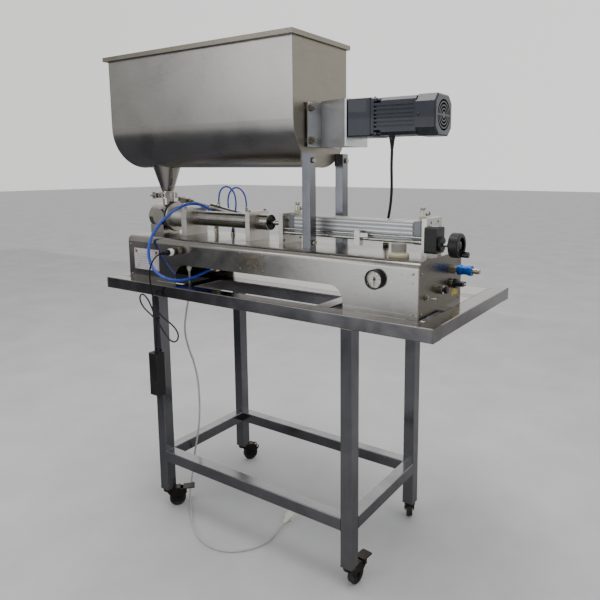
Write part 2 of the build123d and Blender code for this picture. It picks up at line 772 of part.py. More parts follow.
# ---------------------------------------------------------------- hopper and agitator
def u_section(half_width, top, x0, x1):
    """A U-shaped solid along X, round below the agitator axis."""
    upper = block(x0, x1, line_y - half_width, line_y + half_width, agitator_z, top)
    return upper + bar_x(x0, x1, line_y, agitator_z, half_width)


def hopper_shell():
    """Bent trough sheet, open on top and at both ends, with its outlet hole."""
    shell = u_section(hopper_half_width, hopper_rim_top - 1, hopper_left + 2, hopper_right - 2)
    shell -= u_section(hopper_half_width - sheet, hopper_rim_top + 1,
                       hopper_left - 5, hopper_right + 5)
    return shell - bar_z(agitator_z - 200, agitator_z - 60, valve_x, line_y, 48)


def hopper_ends():
    """Two end plates and the folded rim's four bars; the right plate has lugs for the posts."""
    left = u_section(hopper_half_width, hopper_rim_top - 1, hopper_left, hopper_left + sheet)
    right = u_section(hopper_half_width, hopper_rim_top - 1, hopper_right - sheet, hopper_right)
    for offset in (-post_offset, post_offset):
        right += block(hopper_right - sheet, hopper_right, line_y + offset - 15,
                       line_y + offset + 15, 1205, 1300)
    left_boss = ring_x(hopper_left + sheet, hopper_left + 14, line_y, agitator_z, 18, 10.05)
    right -= bar_x(hopper_right - 10, hopper_right + 10, line_y, agitator_z, 10.05)
    left_x = hopper_left - 12
    right_x = hopper_right + 8
    low = hopper_rim_top - hopper_rim
    bars = [
        block(left_x, right_x, line_y - hopper_half_width - 14, line_y - hopper_half_width,
              low, hopper_rim_top),
        block(left_x, right_x, line_y + hopper_half_width, line_y + hopper_half_width + 9,
              low, hopper_rim_top),
        block(left_x, hopper_left, line_y - hopper_half_width, line_y + hopper_half_width,
              low, hopper_rim_top),
        block(hopper_right, right_x, line_y - hopper_half_width, line_y + hopper_half_width,
              low, hopper_rim_top),
    ]
    return [left, right, left_boss] + bars


def hopper_cone():
    """Outlet cone under the trough, trimmed to it, with its lower ferrule."""
    top = agitator_z - hopper_half_width + 12
    bottom = 1115.0
    height = top - bottom
    middle = Pos(valve_x, line_y, (top + bottom) / 2)
    outer = middle * Cone(21, 52, height)
    inner = middle * Cone(19, 50, height + 0.1)
    cone = outer - inner
    trough = u_section(hopper_half_width + 0.1, hopper_rim_top, hopper_left, hopper_right)
    cone -= trough
    neck = bar_z(1102.5, bottom, valve_x, line_y, 21) - bar_z(1102, bottom + 1, valve_x, line_y, 19)
    neck += bar_z(1102.5, 1108, valve_x, line_y, 30) - bar_z(1100, 1110, valve_x, line_y, 19)
    return cone + neck


def agitator():
    """Shaft with its drive end, and paddle arms carrying scraper blades."""
    shaft = bar_x(hopper_left + sheet + 0.6, gearbox_left + 16, line_y, agitator_z, 10)
    count = 6
    first = hopper_left + 70
    pitch = (hopper_right - hopper_left - 140) / (count - 1)
    for index in range(count):
        x = first + index * pitch
        turn = Pos(x, line_y, agitator_z) * Rot(60 * index, 0, 0)
        shaft += turn * Pos(0, 0, 0) * Cylinder(5, 2 * paddle_radius - 16)
        for side in (-1, 1):
            blade = Pos(0, 0, side * (paddle_radius - 12)) * Rot(0, 0, 30) * Box(56, 5, 24)
            shaft += turn * blade
    return shaft


def hopper_posts():
    """Two square posts between the housing's top and the hopper's right plate."""
    posts = []
    half = post_size / 2
    for offset in (-post_offset, post_offset):
        y = line_y + offset
        posts.append(box_tube(post_left, post_left + post_size, y - half, y + half,
                              housing_top, post_top, Axis.Z))
    return posts


def motor_bracket():
    """Flared bracket: hopper flange, two slanted cheeks and the gearbox plate."""
    flange = block(flange_x, flange_x + 4, line_y - 83, line_y + 83, bracket_low, bracket_high - 6)
    for side in (-1, 1):
        near = line_y + side * 16
        far = line_y + side * 52
        flange += outline_xy([(flange_x + 4, near - side * 4), (flange_x + 4, near),
                              (bracket_right, far), (bracket_right, far - side * 4)],
                             bracket_low, bracket_high)
    flange += block(bracket_right, bracket_right + 6, line_y - 52, line_y + 66,
                    bracket_low, bracket_high)
    flange -= bar_x(flange_x - 5, gearbox_left, line_y, agitator_z, 13)
    return flange


def gearbox():
    """Square gearhead with a pilot boss and its output bore."""
    head = block(gearbox_left, gearbox_right, line_y - gear_half, line_y + gear_half,
                 agitator_z - gear_half, agitator_z + gear_half)
    head = fillet(head.edges().filter_by(Axis.X), 5)
    head += bar_x(bracket_right + 6, gearbox_left, line_y, agitator_z, 42)
    adapter = square_x(gearbox_right, motor_left, gear_half - 1.5)
    head += fillet(adapter.edges().filter_by(Axis.X), 8)
    head -= bar_x(bracket_right, gearbox_left + 40, line_y, agitator_z, 10.05)
    return head


def square_x(x0, x1, half):
    """A square prism along X about the motor axis."""
    return block(x0, x1, line_y - half, line_y + half, agitator_z - half, agitator_z + half)


def motor():
    """Square barrel with lengthwise cooling grooves, bolt notches and a cable gland below."""
    half = gear_half - 2
    barrel = square_x(motor_left, motor_right, half)
    barrel = chamfer(barrel.edges().filter_by(Axis.X), 9)
    for offset in (-27.0, -16.0, -5.0, 5.0, 16.0, 27.0):
        slot = block(motor_left - 1, motor_right - 4, line_y + offset - 2.5, line_y + offset + 2.5,
                     agitator_z - half - 5, agitator_z + half + 5)
        barrel -= slot - square_x(motor_left - 2, motor_right, half - 7)
        slot = block(motor_left - 1, motor_right - 4, line_y - half - 5, line_y + half + 5,
                     agitator_z + offset - 2.5, agitator_z + offset + 2.5)
        barrel -= slot - square_x(motor_left - 2, motor_right, half - 7)
    bolts = []
    for y in (-1, 1):
        for z in (-1, 1):
            corner_y = line_y + y * (half - 6)
            corner_z = agitator_z + z * (half - 6)
            barrel -= block(motor_left - 1, motor_left + 22, corner_y - 9, corner_y + 9,
                            corner_z - 9, corner_z + 9)
            bolt = hex_x(motor_left, motor_left + 8, corner_y, corner_z, 11)
            bolts.append(bolt + bar_x(motor_left + 8, motor_left + 22, corner_y, corner_z, 3.2))
    barrel += bar_z(agitator_z - half - 8, agitator_z - half + 16, 409, line_y, 9)
    barrel -= bar_x(motor_right - 30, motor_right + 1, line_y, agitator_z, 6 + running_gap)
    return [barrel] + bolts


def fan_cover():
    """Square fan cowl with cut corners and a ring grille in its face."""
    half = gear_half + 1.5
    cowl = square_x(motor_right, fan_cover_right, half)
    cowl = chamfer(cowl.edges().filter_by(Axis.X), 21)
    cowl = chamfer(cowl.edges().group_by(Axis.X)[-1], 4)
    cavity = square_x(motor_right - 1, fan_cover_right - 4, half - 3)
    cowl -= chamfer(cavity.edges().filter_by(Axis.X), 20)
    face = fan_cover_right - 5
    slots = None
    for radius in (9.0, 18.0, 27.0, 36.0):
        ring = ring_x(face, face + 6, line_y, agitator_z, radius + 5, radius)
        slots = ring if slots is None else slots + ring
    slots -= block(face - 1, face + 7, line_y - 50, line_y + 50, agitator_z - 1.8, agitator_z + 1.8)
    return cowl - slots


def fan():
    """Radial-bladed cooling fan on the motor's rear shaft."""
    hub_end = fan_cover_right - 14
    wheel = bar_x(motor_right + 8, hub_end, line_y, agitator_z, 14)
    wheel += bar_x(motor_right - 28, motor_right + 8, line_y, agitator_z, 6)
    wheel += bar_x(motor_right + 8, motor_right + 12, line_y, agitator_z, 42)
    for index in range(6):
        blade = Pos(motor_right + 24, 0, 26) * Box(26, 2.5, 34)
        wheel += Pos(0, line_y, agitator_z) * Rot(60 * index, 0, 0) * blade
    return wheel


def frame_bolts():
    """Hexagon bolts of the bracket flange, the posts and the gearbox plate."""
    bolts = []
    flange_face = flange_x + 4
    for side in (-1, 1):
        for z in (1279.0, 1373.0):
            y = line_y + side * 70
            bolts.append(hex_x(hopper_right, flange_x, y, z, 19))
            bolt = bar_x(flange_face, flange_face + 2, y, z, 12)
            bolt += hex_x(flange_face + 2, flange_face + 11, y, z, 19)
            bolt += bar_x(flange_face + 11, flange_face + 19, y, z, 6)
            bolts.append(bolt)
        y = line_y + side * post_offset
        for z in (1222.0, 982.0):
            head = hex_x(post_left + post_size, post_left + post_size + 7, y, z, 14)
            bolts.append(head)
    return bolts


# ---------------------------------------------------------------- cords
motor_cable_points = [
    (409, -97, 1279), (409, -97, 1245), (405, -92, 1208), (400, -80, 1168), (392, -64, 1128),
    (379, -47, 1086), (364, -32, 1048), (352, -22, 1012), (352, -22, 975),
]

control_lead_points = [
    (-312, -312, 925), (-312, -334, 925), (-322, -348, 906), (-338, -349, 878), (-352, -340, 846),
    (-363, -328, 810), (-367, -319, 772), (-362, -313, 740), (-344, -312, 716), (-318, -312, 702),
    (-290, -313, 692), (-264, -315, 678), (-250, -317, 658), (-258, -320, 638), (-280, -322, 634),
    (-304, -322, 650), (-326, -322, 674), (-350, -323, 700), (-378, -325, 716), (-405, -328, 734),
    (-420, -331, 758), (-412, -334, 780), (-390, -336, 784), (-368, -336, 766), (-352, -335, 738),
    (-342, -333, 706), (-342, -329, 670), (-350, -325, 634), (-359, -322, 606), (-359, -322, 586),
]

mains_lead_points = [
    (-318, -200, 864), (-318, -200, 820), (-326, -200, 756), (-345, -199, 694), (-358, -198, 630),
    (-344, -196, 572), (-318, -194, 518), (-303, -192, 452), (-303, -190, 372), (-312, -186, 296),
    (-333, -180, 228), (-356, -174, 162), (-368, -172, 104), (-372, -178, 58), (-366, -193, 20),
    (-344, -216, 3.4), (-304, -250, 3.4), (-250, -296, 3.4), (-192, -338, 3.4), (-130, -366, 3.4),
    (-64, -374, 3.4), (-6, -354, 3.4), (36, -310, 3.4), (56, -262, 3.4), (54, -214, 4.5),
    (45, -176, 9), (41.6, -152, 9),
]

air_hose_points = [
    (-325, -57, 983), (-325, -57, 1008), (-337, -58, 1034), (-355, -65, 1054), (-373, -80, 1068),
    (-390, -104, 1074), (-405, -134, 1069), (-418, -165, 1054), (-430, -196, 1030),
    (-438, -226, 1000), (-440, -249, 972), (-442, -264, 940), (-436, -274, 906),
    (-420, -280, 874), (-392, -280, 848), (-356, -272, 830), (-318, -254, 823),
    (-286, -226, 829), (-266, -192, 843), (-262, -160, 853), (-262, -138, 853),
]

loop_tube_a_points = [
    (-337, -30, 1071), (-337, -30, 1096), (-324, -34, 1120), (-298, -41, 1134), (-266, -48, 1134),
    (-238, -54, 1116), (-226, -57, 1086), (-230, -58, 1046), (-245, -57, 1010), (-245, -57, 975),
]

loop_tube_b_points = [
    (-203, -30, 1056), (-203, -30, 1082), (-214, -26, 1108), (-238, -19, 1126), (-270, -12, 1132),
    (-299, -7, 1120), (-317, -4, 1092), (-318, -2, 1054), (-297, -1, 1012), (-297, -1, 975),
]


def control_lead_ends():
    """The control lead's plug on the signal socket, and its in-line box with two necks."""
    face = housing_front
    plug = bar_y(face - 46, face - 26, socket_x, socket_z, 10.5)
    plug += bar_y(face - 62, face - 46, socket_x, socket_z, 6.5)
    brick = block(-382, -336, -338, -306, 438, 584)
    brick = fillet(brick.edges().filter_by(Axis.Z), 5)
    brick += bar_z(584, 586, -359, -322, 6)
    return [plug, brick + bar_z(424, 438, -359, -322, 5)]


def mains_connector():
    """Moulded connector on the floor end of the mains lead."""
    before = Vector(*mains_lead_points[-2])
    end = Vector(*mains_lead_points[-1])
    heading = math.degrees(math.atan2(end.Y - before.Y, end.X - before.X))
    turn = Pos(*mains_lead_points[-1]) * Rot(0, 0, heading)
    body = turn * block(30, 92, -15, 15, -9, 9)
    body = fillet(body.edges().filter_by(Axis.Z), 6)
    neck = turn * cone_x(0, 30, 0, 0, 5, 8.5)
    return body + neck


# ---------------------------------------------------------------- write every node
save("table_rails", table_rails())
save("shelf_sheet", shelf_sheet())
save("leg_frame", leg_frame())

for corner in leg_places():
    place = caster_place(corner)
    save("caster_fork_" + corner, [place * piece for piece in caster_fork()])
    save("caster_wheel_" + corner, place * caster_wheel())
    if corner in braked_casters:
        save("caster_brake_" + corner, place * caster_brake())

save("housing_cover", housing_cover())
save("housing_ends", housing_ends())
save("housing_screws", housing_screws())
save("gauge_case", gauge_case())
save("gauge_pointer", gauge_pointer())
save("panel_fittings", panel_fittings())
save("air_coupler_sleeve", air_coupler_sleeve())
save("selector_knob", selector_knob())
save("push_button", push_button())
save("toggle_lever", toggle_lever())

save("valve_body", valve_body())
save("valve_rotor", valve_rotor())
save("valve_gasket", valve_gasket())
save("pipe_clamp", pipe_clamp())
save("clamp_wing_nut", clamp_wing_nut())
save("cylinder_blocks", cylinder_blocks())
save("material_tube", material_tube())
save("piston_rod", piston_rod())

save("cylinder_plates", cylinder_plates())
save("air_cylinder", air_cylinder())
save("guide_rod", guide_rod())
save("lead_screw", lead_screw())
save("sensor_carriage", sensor_carriage())
save("position_counter", position_counter())
save("handwheel", handwheel())
save("handwheel_grip", handwheel_grip())
save("actuator_barrel", actuator_barrel())
save("actuator_rod", actuator_rod())

save("hopper_shell", hopper_shell())
save("hopper_ends", hopper_ends())
save("hopper_cone", hopper_cone())
save("agitator", agitator())
save("hopper_posts", hopper_posts())
save("motor_bracket", motor_bracket())
save("gearbox", gearbox())
save("motor", motor())
save("fan_cover", fan_cover())
save("fan", fan())
save("frame_bolts", frame_bolts())

cord_tube("motor_cable", motor_cable_points, 8)
cord_tube("control_lead", control_lead_points, 5)
cord_tube("mains_lead", mains_lead_points, 6.5)
cord_tube("air_hose", air_hose_points, 10)
cord_tube("loop_tube_a", loop_tube_a_points, 6)
cord_tube("loop_tube_b", loop_tube_b_points, 6)
save("control_lead_ends", control_lead_ends())
save("mains_connector", mains_connector())
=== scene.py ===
"""Looks of the horizontal piston filler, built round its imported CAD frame. Metres."""
import math
import random

import bmesh
import bpy
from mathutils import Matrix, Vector


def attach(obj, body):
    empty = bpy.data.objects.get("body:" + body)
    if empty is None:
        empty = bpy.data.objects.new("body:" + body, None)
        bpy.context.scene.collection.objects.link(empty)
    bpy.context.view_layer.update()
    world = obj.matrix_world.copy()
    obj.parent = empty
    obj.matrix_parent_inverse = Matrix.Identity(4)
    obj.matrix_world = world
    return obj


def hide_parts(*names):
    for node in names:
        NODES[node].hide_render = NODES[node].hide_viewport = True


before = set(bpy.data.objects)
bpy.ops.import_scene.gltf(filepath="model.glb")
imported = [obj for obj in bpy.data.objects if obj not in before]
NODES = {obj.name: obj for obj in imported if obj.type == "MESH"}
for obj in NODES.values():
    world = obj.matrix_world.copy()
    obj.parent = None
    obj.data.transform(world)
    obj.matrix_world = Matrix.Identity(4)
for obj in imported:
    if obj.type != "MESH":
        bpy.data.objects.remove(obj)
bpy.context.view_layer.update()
ROOT = "frame"

UP, DOWN, RIGHT, FORWARD = (0, 0, 1), (0, 0, -1), (1, 0, 0), (0, -1, 0)

# Places shared with part.py, in millimetres.
FRONT = -250.0  # y of the housing's front face
PANEL = 573.0  # x of the housing's right end panel
TOP = 963.0  # z of the housing's top
LINE_Y, LINE_Z = -97.0, 1023.0  # axis of the valve, material tube and air cylinder
SCREW_Y, SCREW_Z = -138.0, 999.0  # axis of the lead screw
BLOCK_TOP = 1057.8  # z of the split blocks' top
CAP_TOP = 1058.0  # z of the air cylinder's caps
TROUGH_RADIUS, TROUGH_Z = 138.0, 1339.0  # the trough's round bottom and the agitator's axis
TROUGH_LEFT, TROUGH_RIGHT = -647, 167  # x of the trough's end plates
TROUGH_SEAM_TOP = 1565  # z where the upright seams end, under the rim
RIM_Z = 1581  # z of the hopper's top
LEG_LEFTS, LEG_WIDTH = (-398, 366), 38  # x of each leg's left side, and the tube's width
RAIL_UNDER = 773.6  # z just under the table's rails
STRETCHER_EDGES = (181.0, 219.0)  # z of the stretchers' lower and upper side

# ------------------------------------------------------------------ camera
camera_data = bpy.data.cameras.new("camera")
camera_data.sensor_width = 36.0
camera_data.lens = 34.776
camera_data.shift_x = -0.0698
camera_data.shift_y = -0.0759
camera_data.clip_end = 100.0
camera = bpy.data.objects.new("camera", camera_data)
camera.location = (1.19096, -1.56478, 1.19946)
camera.rotation_euler = (math.radians(81.5216), 0.0, math.radians(32.9153))
bpy.context.scene.collection.objects.link(camera)
bpy.context.scene.camera = camera


# ------------------------------------------------------------------ materials
WHITE = (1.0, 1.0, 1.0, 1.0)
EVEN = (1.0, 1.0, 1.0)  # noise that isn't stretched
MIX_FACTOR, MIX_FIRST, MIX_SECOND, MIX_RESULT = 0, 6, 7, 2  # colour sockets of a Mix node


def linear(hexcode):
    """An sRGB hex colour as linear RGBA."""
    values = [int(hexcode[i:i + 2], 16) / 255 for i in (1, 3, 5)]
    return [v / 12.92 if v <= 0.04045 else ((v + 0.055) / 1.055) ** 2.4 for v in values] + [1.0]


def set_stops(ramp, stops):
    """Fill a colour ramp node; stops are (place, RGBA)."""
    while len(ramp.color_ramp.elements) < len(stops):
        ramp.color_ramp.elements.new(0.5)
    for element, (place, colour) in zip(ramp.color_ramp.elements, stops):
        element.position = place
        element.color = colour


class Shader:
    """A Principled material whose colour, roughness and bump come from noise in object space."""

    def __init__(self, name, metallic=0.0, **sockets):
        self.material = bpy.data.materials.new(name)
        self.material.use_nodes = True
        self.tree = self.material.node_tree
        self.principled = self.tree.nodes["Principled BSDF"]
        self.principled.inputs["Metallic"].default_value = metallic
        for key, value in sockets.items():
            self.principled.inputs[key.replace("_", " ")].default_value = value
        self.coordinates = self.tree.nodes.new("ShaderNodeTexCoord").outputs["Object"]

    def node(self, kind, **settings):
        made = self.tree.nodes.new(kind)
        for key, value in settings.items():
            setattr(made, key, value)
        return made

    def link(self, source, target):
        self.tree.links.new(source, target)

    def noise(self, stretch, scale, detail=4.0, roughness=0.6, distortion=0.0):
        """Noise whose grain is stretched: each axis is multiplied by its own factor."""
        mapping = self.node("ShaderNodeMapping")
        mapping.inputs["Scale"].default_value = stretch
        self.link(self.coordinates, mapping.inputs["Vector"])
        noise = self.node("ShaderNodeTexNoise")
        noise.inputs["Scale"].default_value = scale
        noise.inputs["Detail"].default_value = detail
        noise.inputs["Roughness"].default_value = roughness
        noise.inputs["Distortion"].default_value = distortion
        self.link(mapping.outputs["Vector"], noise.inputs["Vector"])
        return noise.outputs["Fac"]

    def ramp(self, factor, stops):
        """A colour ramp from a factor; stops are (place, RGBA)."""
        ramp = self.node("ShaderNodeValToRGB")
        set_stops(ramp, stops)
        self.link(factor, ramp.inputs["Fac"])
        return ramp.outputs["Color"]

    def span(self, factor, low, high, start=0.3, end=0.7):
        """A number that goes from low to high as the factor goes from start to end."""
        span = self.node("ShaderNodeMapRange")
        span.inputs["From Min"].default_value = start
        span.inputs["From Max"].default_value = end
        span.inputs["To Min"].default_value = low
        span.inputs["To Max"].default_value = high
        self.link(factor, span.inputs["Value"])
        return span.outputs["Result"]

    def mix(self, factor, first, second, blend="MIX"):
        mix = self.node("ShaderNodeMix", data_type="RGBA", blend_type=blend)
        if isinstance(factor, float):
            mix.inputs[MIX_FACTOR].default_value = factor
        else:
            self.link(factor, mix.inputs[MIX_FACTOR])
        self.link(first, mix.inputs[MIX_FIRST])
        self.link(second, mix.inputs[MIX_SECOND])
        return mix.outputs[MIX_RESULT]

    def patch(self, centre, half):
        """A soft-edged ellipse in (x, z) on the housing's front: 0.8 inside it, 0 outside."""
        mapping = self.node("ShaderNodeMapping", vector_type="TEXTURE")
        mapping.inputs["Location"].default_value = (centre[0], FRONT / 1000, centre[1])
        mapping.inputs["Scale"].default_value = (half[0], 1.0, half[1])
        self.link(self.coordinates, mapping.inputs["Vector"])
        reach = self.node("ShaderNodeVectorMath", operation="LENGTH")
        self.link(mapping.outputs["Vector"], reach.inputs[0])
        return self.span(reach.outputs["Value"], 0.8, 0.0, start=0.45, end=1.0)

    def colour(self, source):
        self.link(source, self.principled.inputs["Base Color"])

    def rough(self, source):
        self.link(source, self.principled.inputs["Roughness"])

    def bump(self, height, strength, distance):
        bump = self.node("ShaderNodeBump")
        bump.inputs["Strength"].default_value = strength
        bump.inputs["Distance"].default_value = distance
        self.link(height, bump.inputs["Height"])
        self.link(bump.outputs["Normal"], self.principled.inputs["Normal"])


def tone(colour, factor):
    """The colour made lighter or darker."""
    return [min(1.0, c * factor) for c in colour[:3]] + [1.0]


BRUSH_FINENESS = 38.0  # how much finer brushed steel's noise is across its grain
RING_FINENESS = 60.0  # how much finer a turned metal's tool rings are along its axis
DUST = 0.42  # linear grey of the dust on plastic and paint


def steel(name, hexcode, grain, rough, stain, bump=0.12, top=1.0, edge_stain=None, speck=0.35):
    """Brushed stainless: fine scratches along one axis, cloudy stains and uneven gloss.

    stain is the factor for the darkest clouds, and speck the strength of small dark spots. The
    colour of faces that look up is multiplied by top, with a warmer tint: painted light and
    shade on upward faces, lighter where top is above one and darker where it is below.
    edge_stain is a brown patch, as its centre and half size in (x, z) in metres.
    """
    base = linear(hexcode)
    s = Shader(name, metallic=1.0, Anisotropic=0.45)
    stretch = [1.0 if axis == grain else BRUSH_FINENESS for axis in "xyz"]
    scratches = s.noise(stretch, 14.0, detail=6.0, roughness=0.7)
    clouds = s.noise(EVEN, 5.5, detail=5.0, roughness=0.62, distortion=0.6)
    spots = s.noise(EVEN, 95.0, detail=2.0)
    brushed = s.ramp(scratches, [(0.30, tone(base, 0.84)), (0.70, tone(base, 1.12))])
    cloudy = s.ramp(clouds, [(0.34, tone(base, stain)), (0.60, tone(base, 1.08))])
    colour = s.mix(0.5, brushed, cloudy)
    specks = s.ramp(spots, [(0.30, (0.55, 0.50, 0.45, 1.0)), (0.36, WHITE)])
    colour = s.mix(speck, colour, specks, "MULTIPLY")
    # Painted light and shade: upward faces are made lighter and warmer, or darker, in the colour
    # itself.
    if top != 1.0:
        normal = s.node("ShaderNodeSeparateXYZ")
        s.link(s.node("ShaderNodeNewGeometry").outputs["Normal"], normal.inputs["Vector"])
        painted_top_light = (top, 0.97 * top, 0.90 * top, 1.0)
        shade = s.ramp(normal.outputs["Z"], [(0.55, WHITE), (0.98, painted_top_light)])
        colour = s.mix(1.0, colour, shade, "MULTIPLY")
    if edge_stain:
        colour = s.mix(s.patch(*edge_stain), colour, glue_marks(s))
    s.colour(colour)
    s.rough(s.span(clouds, rough[0], rough[1]))
    s.bump(scratches, bump, 0.0006)
    return s.material


def glue_marks(s):
    """Brown, partly rubbed off glue marks."""
    marks = s.noise(EVEN, 42.0, detail=6.0, roughness=0.75, distortion=1.2)
    return s.ramp(marks, [(0.40, linear("#a49c90")), (0.52, linear("#7c6a50")),
                          (0.60, linear("#b2aca2"))])


def turned(name, hexcode, axis, rough):
    """Polished or turned metal with faint tool rings and smears."""
    base = linear(hexcode)
    s = Shader(name, metallic=1.0, Anisotropic=0.3)
    stretch = [RING_FINENESS if letter == axis else 1.5 for letter in "xyz"]
    rings = s.noise(stretch, 18.0, detail=4.0)
    smears = s.noise(EVEN, 22.0, detail=5.0, distortion=0.8)
    colour = s.mix(0.4, s.ramp(rings, [(0.3, tone(base, 0.80)), (0.7, tone(base, 1.12))]),
                   s.ramp(smears, [(0.35, tone(base, 0.70)), (0.6, tone(base, 1.1))]))
    s.colour(colour)
    s.rough(s.span(smears, rough * 0.7, rough * 1.6))
    s.bump(rings, 0.10, 0.0004)
    return s.material


def coated(name, hexcode, rough, variation, bump=0.25, metallic=0.0, **sockets):
    """Paint, moulded plastic or rubber: fine texture, dust and a worn unevenness.

    variation is how far the dusty patches go towards the dust's own grey.
    """
    base = linear(hexcode)
    s = Shader(name, metallic=metallic, **sockets)
    texture = s.noise(EVEN, 900.0, detail=2.0)
    patches = s.noise(EVEN, 16.0, detail=5.0, roughness=0.65, distortion=0.4)
    dusty = [c * (1.0 - variation) + DUST * variation for c in base[:3]] + [1.0]
    s.colour(s.ramp(patches, [(0.38, base), (0.50, tone(base, 1.15)), (0.82, dusty)]))
    s.rough(s.span(patches, rough[0], rough[1]))
    s.bump(texture, bump, 0.0003)
    return s.material


def stained(name, hexcode, stain_hex, scale, low, high, rough=0.5):
    """A pale printed or worn surface with blotches of a second colour."""
    s = Shader(name)
    blotch = s.noise(EVEN, scale, detail=6.0, roughness=0.72, distortion=0.7)
    s.colour(s.ramp(blotch, [(low, linear(hexcode)), (high, linear(stain_hex))]))
    s.rough(s.span(blotch, rough * 0.8, rough * 1.3))
    s.bump(blotch, 0.15, 0.0003)
    return s.material


M = {
    # top above one paints light on the upward faces of rails and legs; top below one paints the
    # housing's top darker, as a painted reflection.
    "rail": steel("steel_rail", "#8d8b8d", "x", rough=(0.14, 0.30), stain=0.50, bump=0.06,
                  top=1.12, speck=0.14),
    "leg": steel("steel_leg", "#7f8085", "z", rough=(0.13, 0.26), stain=0.52, bump=0.05,
                 top=1.6, speck=0.10),
    "shelf": steel("steel_shelf", "#b8b5b0", "x", rough=(0.20, 0.34), stain=0.80),
    "housing": steel("steel_housing", "#a6a39e", "x", rough=(0.15, 0.27), stain=0.74, bump=0.06,
                     top=0.52, edge_stain=((0.010, 0.915), (0.075, 0.036))),
    # A darker copy of the housing's stainless: painted shade for the end panels' sideways faces.
    "panel": steel("steel_panel", "#7b766d", "y", rough=(0.22, 0.34), stain=0.76),
    "hopper": steel("steel_hopper", "#a5a29e", "x", rough=(0.25, 0.33), stain=0.86, bump=0.10,
                    speck=0.10),
    # A darker copy of the hopper's stainless: painted shade for the end plates' sideways faces.
    "hopper_end": steel("steel_hopper_end", "#8a857b", "y", rough=(0.28, 0.42), stain=0.84),
    "bracket": steel("steel_bracket", "#bfc0c2", "z", rough=(0.24, 0.42), stain=0.70),
    "weld": turned("weld_bead", "#8f897f", "x", rough=0.30),
    "polished": turned("polished_steel", "#b4b0a9", "x", rough=0.16),
    "polished_z": turned("polished_steel_upright", "#aeaaa3", "z", rough=0.15),
    "rod": turned("ground_rod", "#c4c2bd", "x", rough=0.14),
    "bolt": turned("bolt_steel", "#9d978c", "x", rough=0.26),
    "zinc": turned("zinc_plate", "#3f3b37", "z", rough=0.30),
    "nickel": turned("nickel_brass", "#b6b0a0", "x", rough=0.2),
    "aluminium": steel("satin_aluminium", "#d5d4d1", "x", rough=(0.34, 0.50), stain=0.86,
                       bump=0.05),
    # A darker copy of the ribs' aluminium: painted shade between the air cylinder's ribs.
    "recess": steel("recess_aluminium_painted_shade", "#9a9c9f", "x", rough=(0.34, 0.5), stain=0.8, bump=0.05),
    "cap_grey": coated("cast_cap", "#6e7073", rough=(0.3, 0.45), variation=0.08, metallic=0.7),
    "plate": steel("plate_aluminium", "#cfccc6", "z", rough=(0.30, 0.46), stain=0.80, bump=0.06),
    "motor": coated("motor_paint", "#22252f", rough=(0.28, 0.44), variation=0.07, bump=0.16,
                    metallic=0.35, Coat_Weight=0.25),
    "black": coated("black_moulding", "#0b0b0c", rough=(0.34, 0.54), variation=0.025),
    "black_gloss": coated("black_gloss", "#0c0c0e", rough=(0.14, 0.3), variation=0.05, bump=0.05),
    "rubber": coated("black_rubber", "#121213", rough=(0.45, 0.7), variation=0.12, bump=0.3),
    "tyre": coated("tyre_rubber", "#1b1b1c", rough=(0.6, 0.85), variation=0.22, bump=0.5),
    "blue": coated("blue_anodised", "#0f58b4", rough=(0.22, 0.36), variation=0.03, bump=0.05,
                   metallic=0.5),
    "hose": coated("blue_hose", "#1540b4", rough=(0.16, 0.34), variation=0.06, bump=0.03,
                   Coat_Weight=0.4),
    "hose_dark": coated("navy_tube", "#0d1838", rough=(0.2, 0.36), variation=0.05, bump=0.03),
    "cable_black": coated("black_cable", "#0b0b0c", rough=(0.34, 0.5), variation=0.02, bump=0.1),
    "cable_white": coated("white_cable", "#b4b3b0", rough=(0.38, 0.55), variation=0.10, bump=0.1),
    "cream": coated("cream_moulding", "#c5bda2", rough=(0.4, 0.6), variation=0.12, bump=0.15),
    "white": coated("white_moulding", "#d8d6cf", rough=(0.4, 0.55), variation=0.10, bump=0.1),
    "dial": coated("dial_white", "#e6e3d6", rough=(0.4, 0.5), variation=0.04, bump=0.0),
    "label": stained("printed_label", "#c4bfc0", "#98908a", 34.0, 0.50, 0.78, rough=0.36),
    "print": stained("faded_print", "#6f6a70", "#9a9494", 60.0, 0.45, 0.70, rough=0.5),
    "grey_cap": coated("grey_moulding", "#8d8b84", rough=(0.4, 0.6), variation=0.10, bump=0.15),
    "yellow": stained("yellow_label", "#b8a545", "#7c6f2c", 60.0, 0.45, 0.7, rough=0.5),
    "dark_slot": coated("dark_recess", "#08080a", rough=(0.7, 0.9), variation=0.03, bump=0.1),
    "red": coated("red_print", "#8e1d17", rough=(0.45, 0.6), variation=0.05, bump=0.0),
}
glass = Shader("window_glass", Roughness=0.04, IOR=1.45, Transmission_Weight=1.0, Alpha=0.16)
glass.colour(glass.ramp(glass.noise(EVEN, 30.0), [(0.4, (0.95, 0.97, 0.98, 1.0)),
                                                  (0.7, (0.86, 0.89, 0.90, 1.0))]))
M["glass"] = glass.material

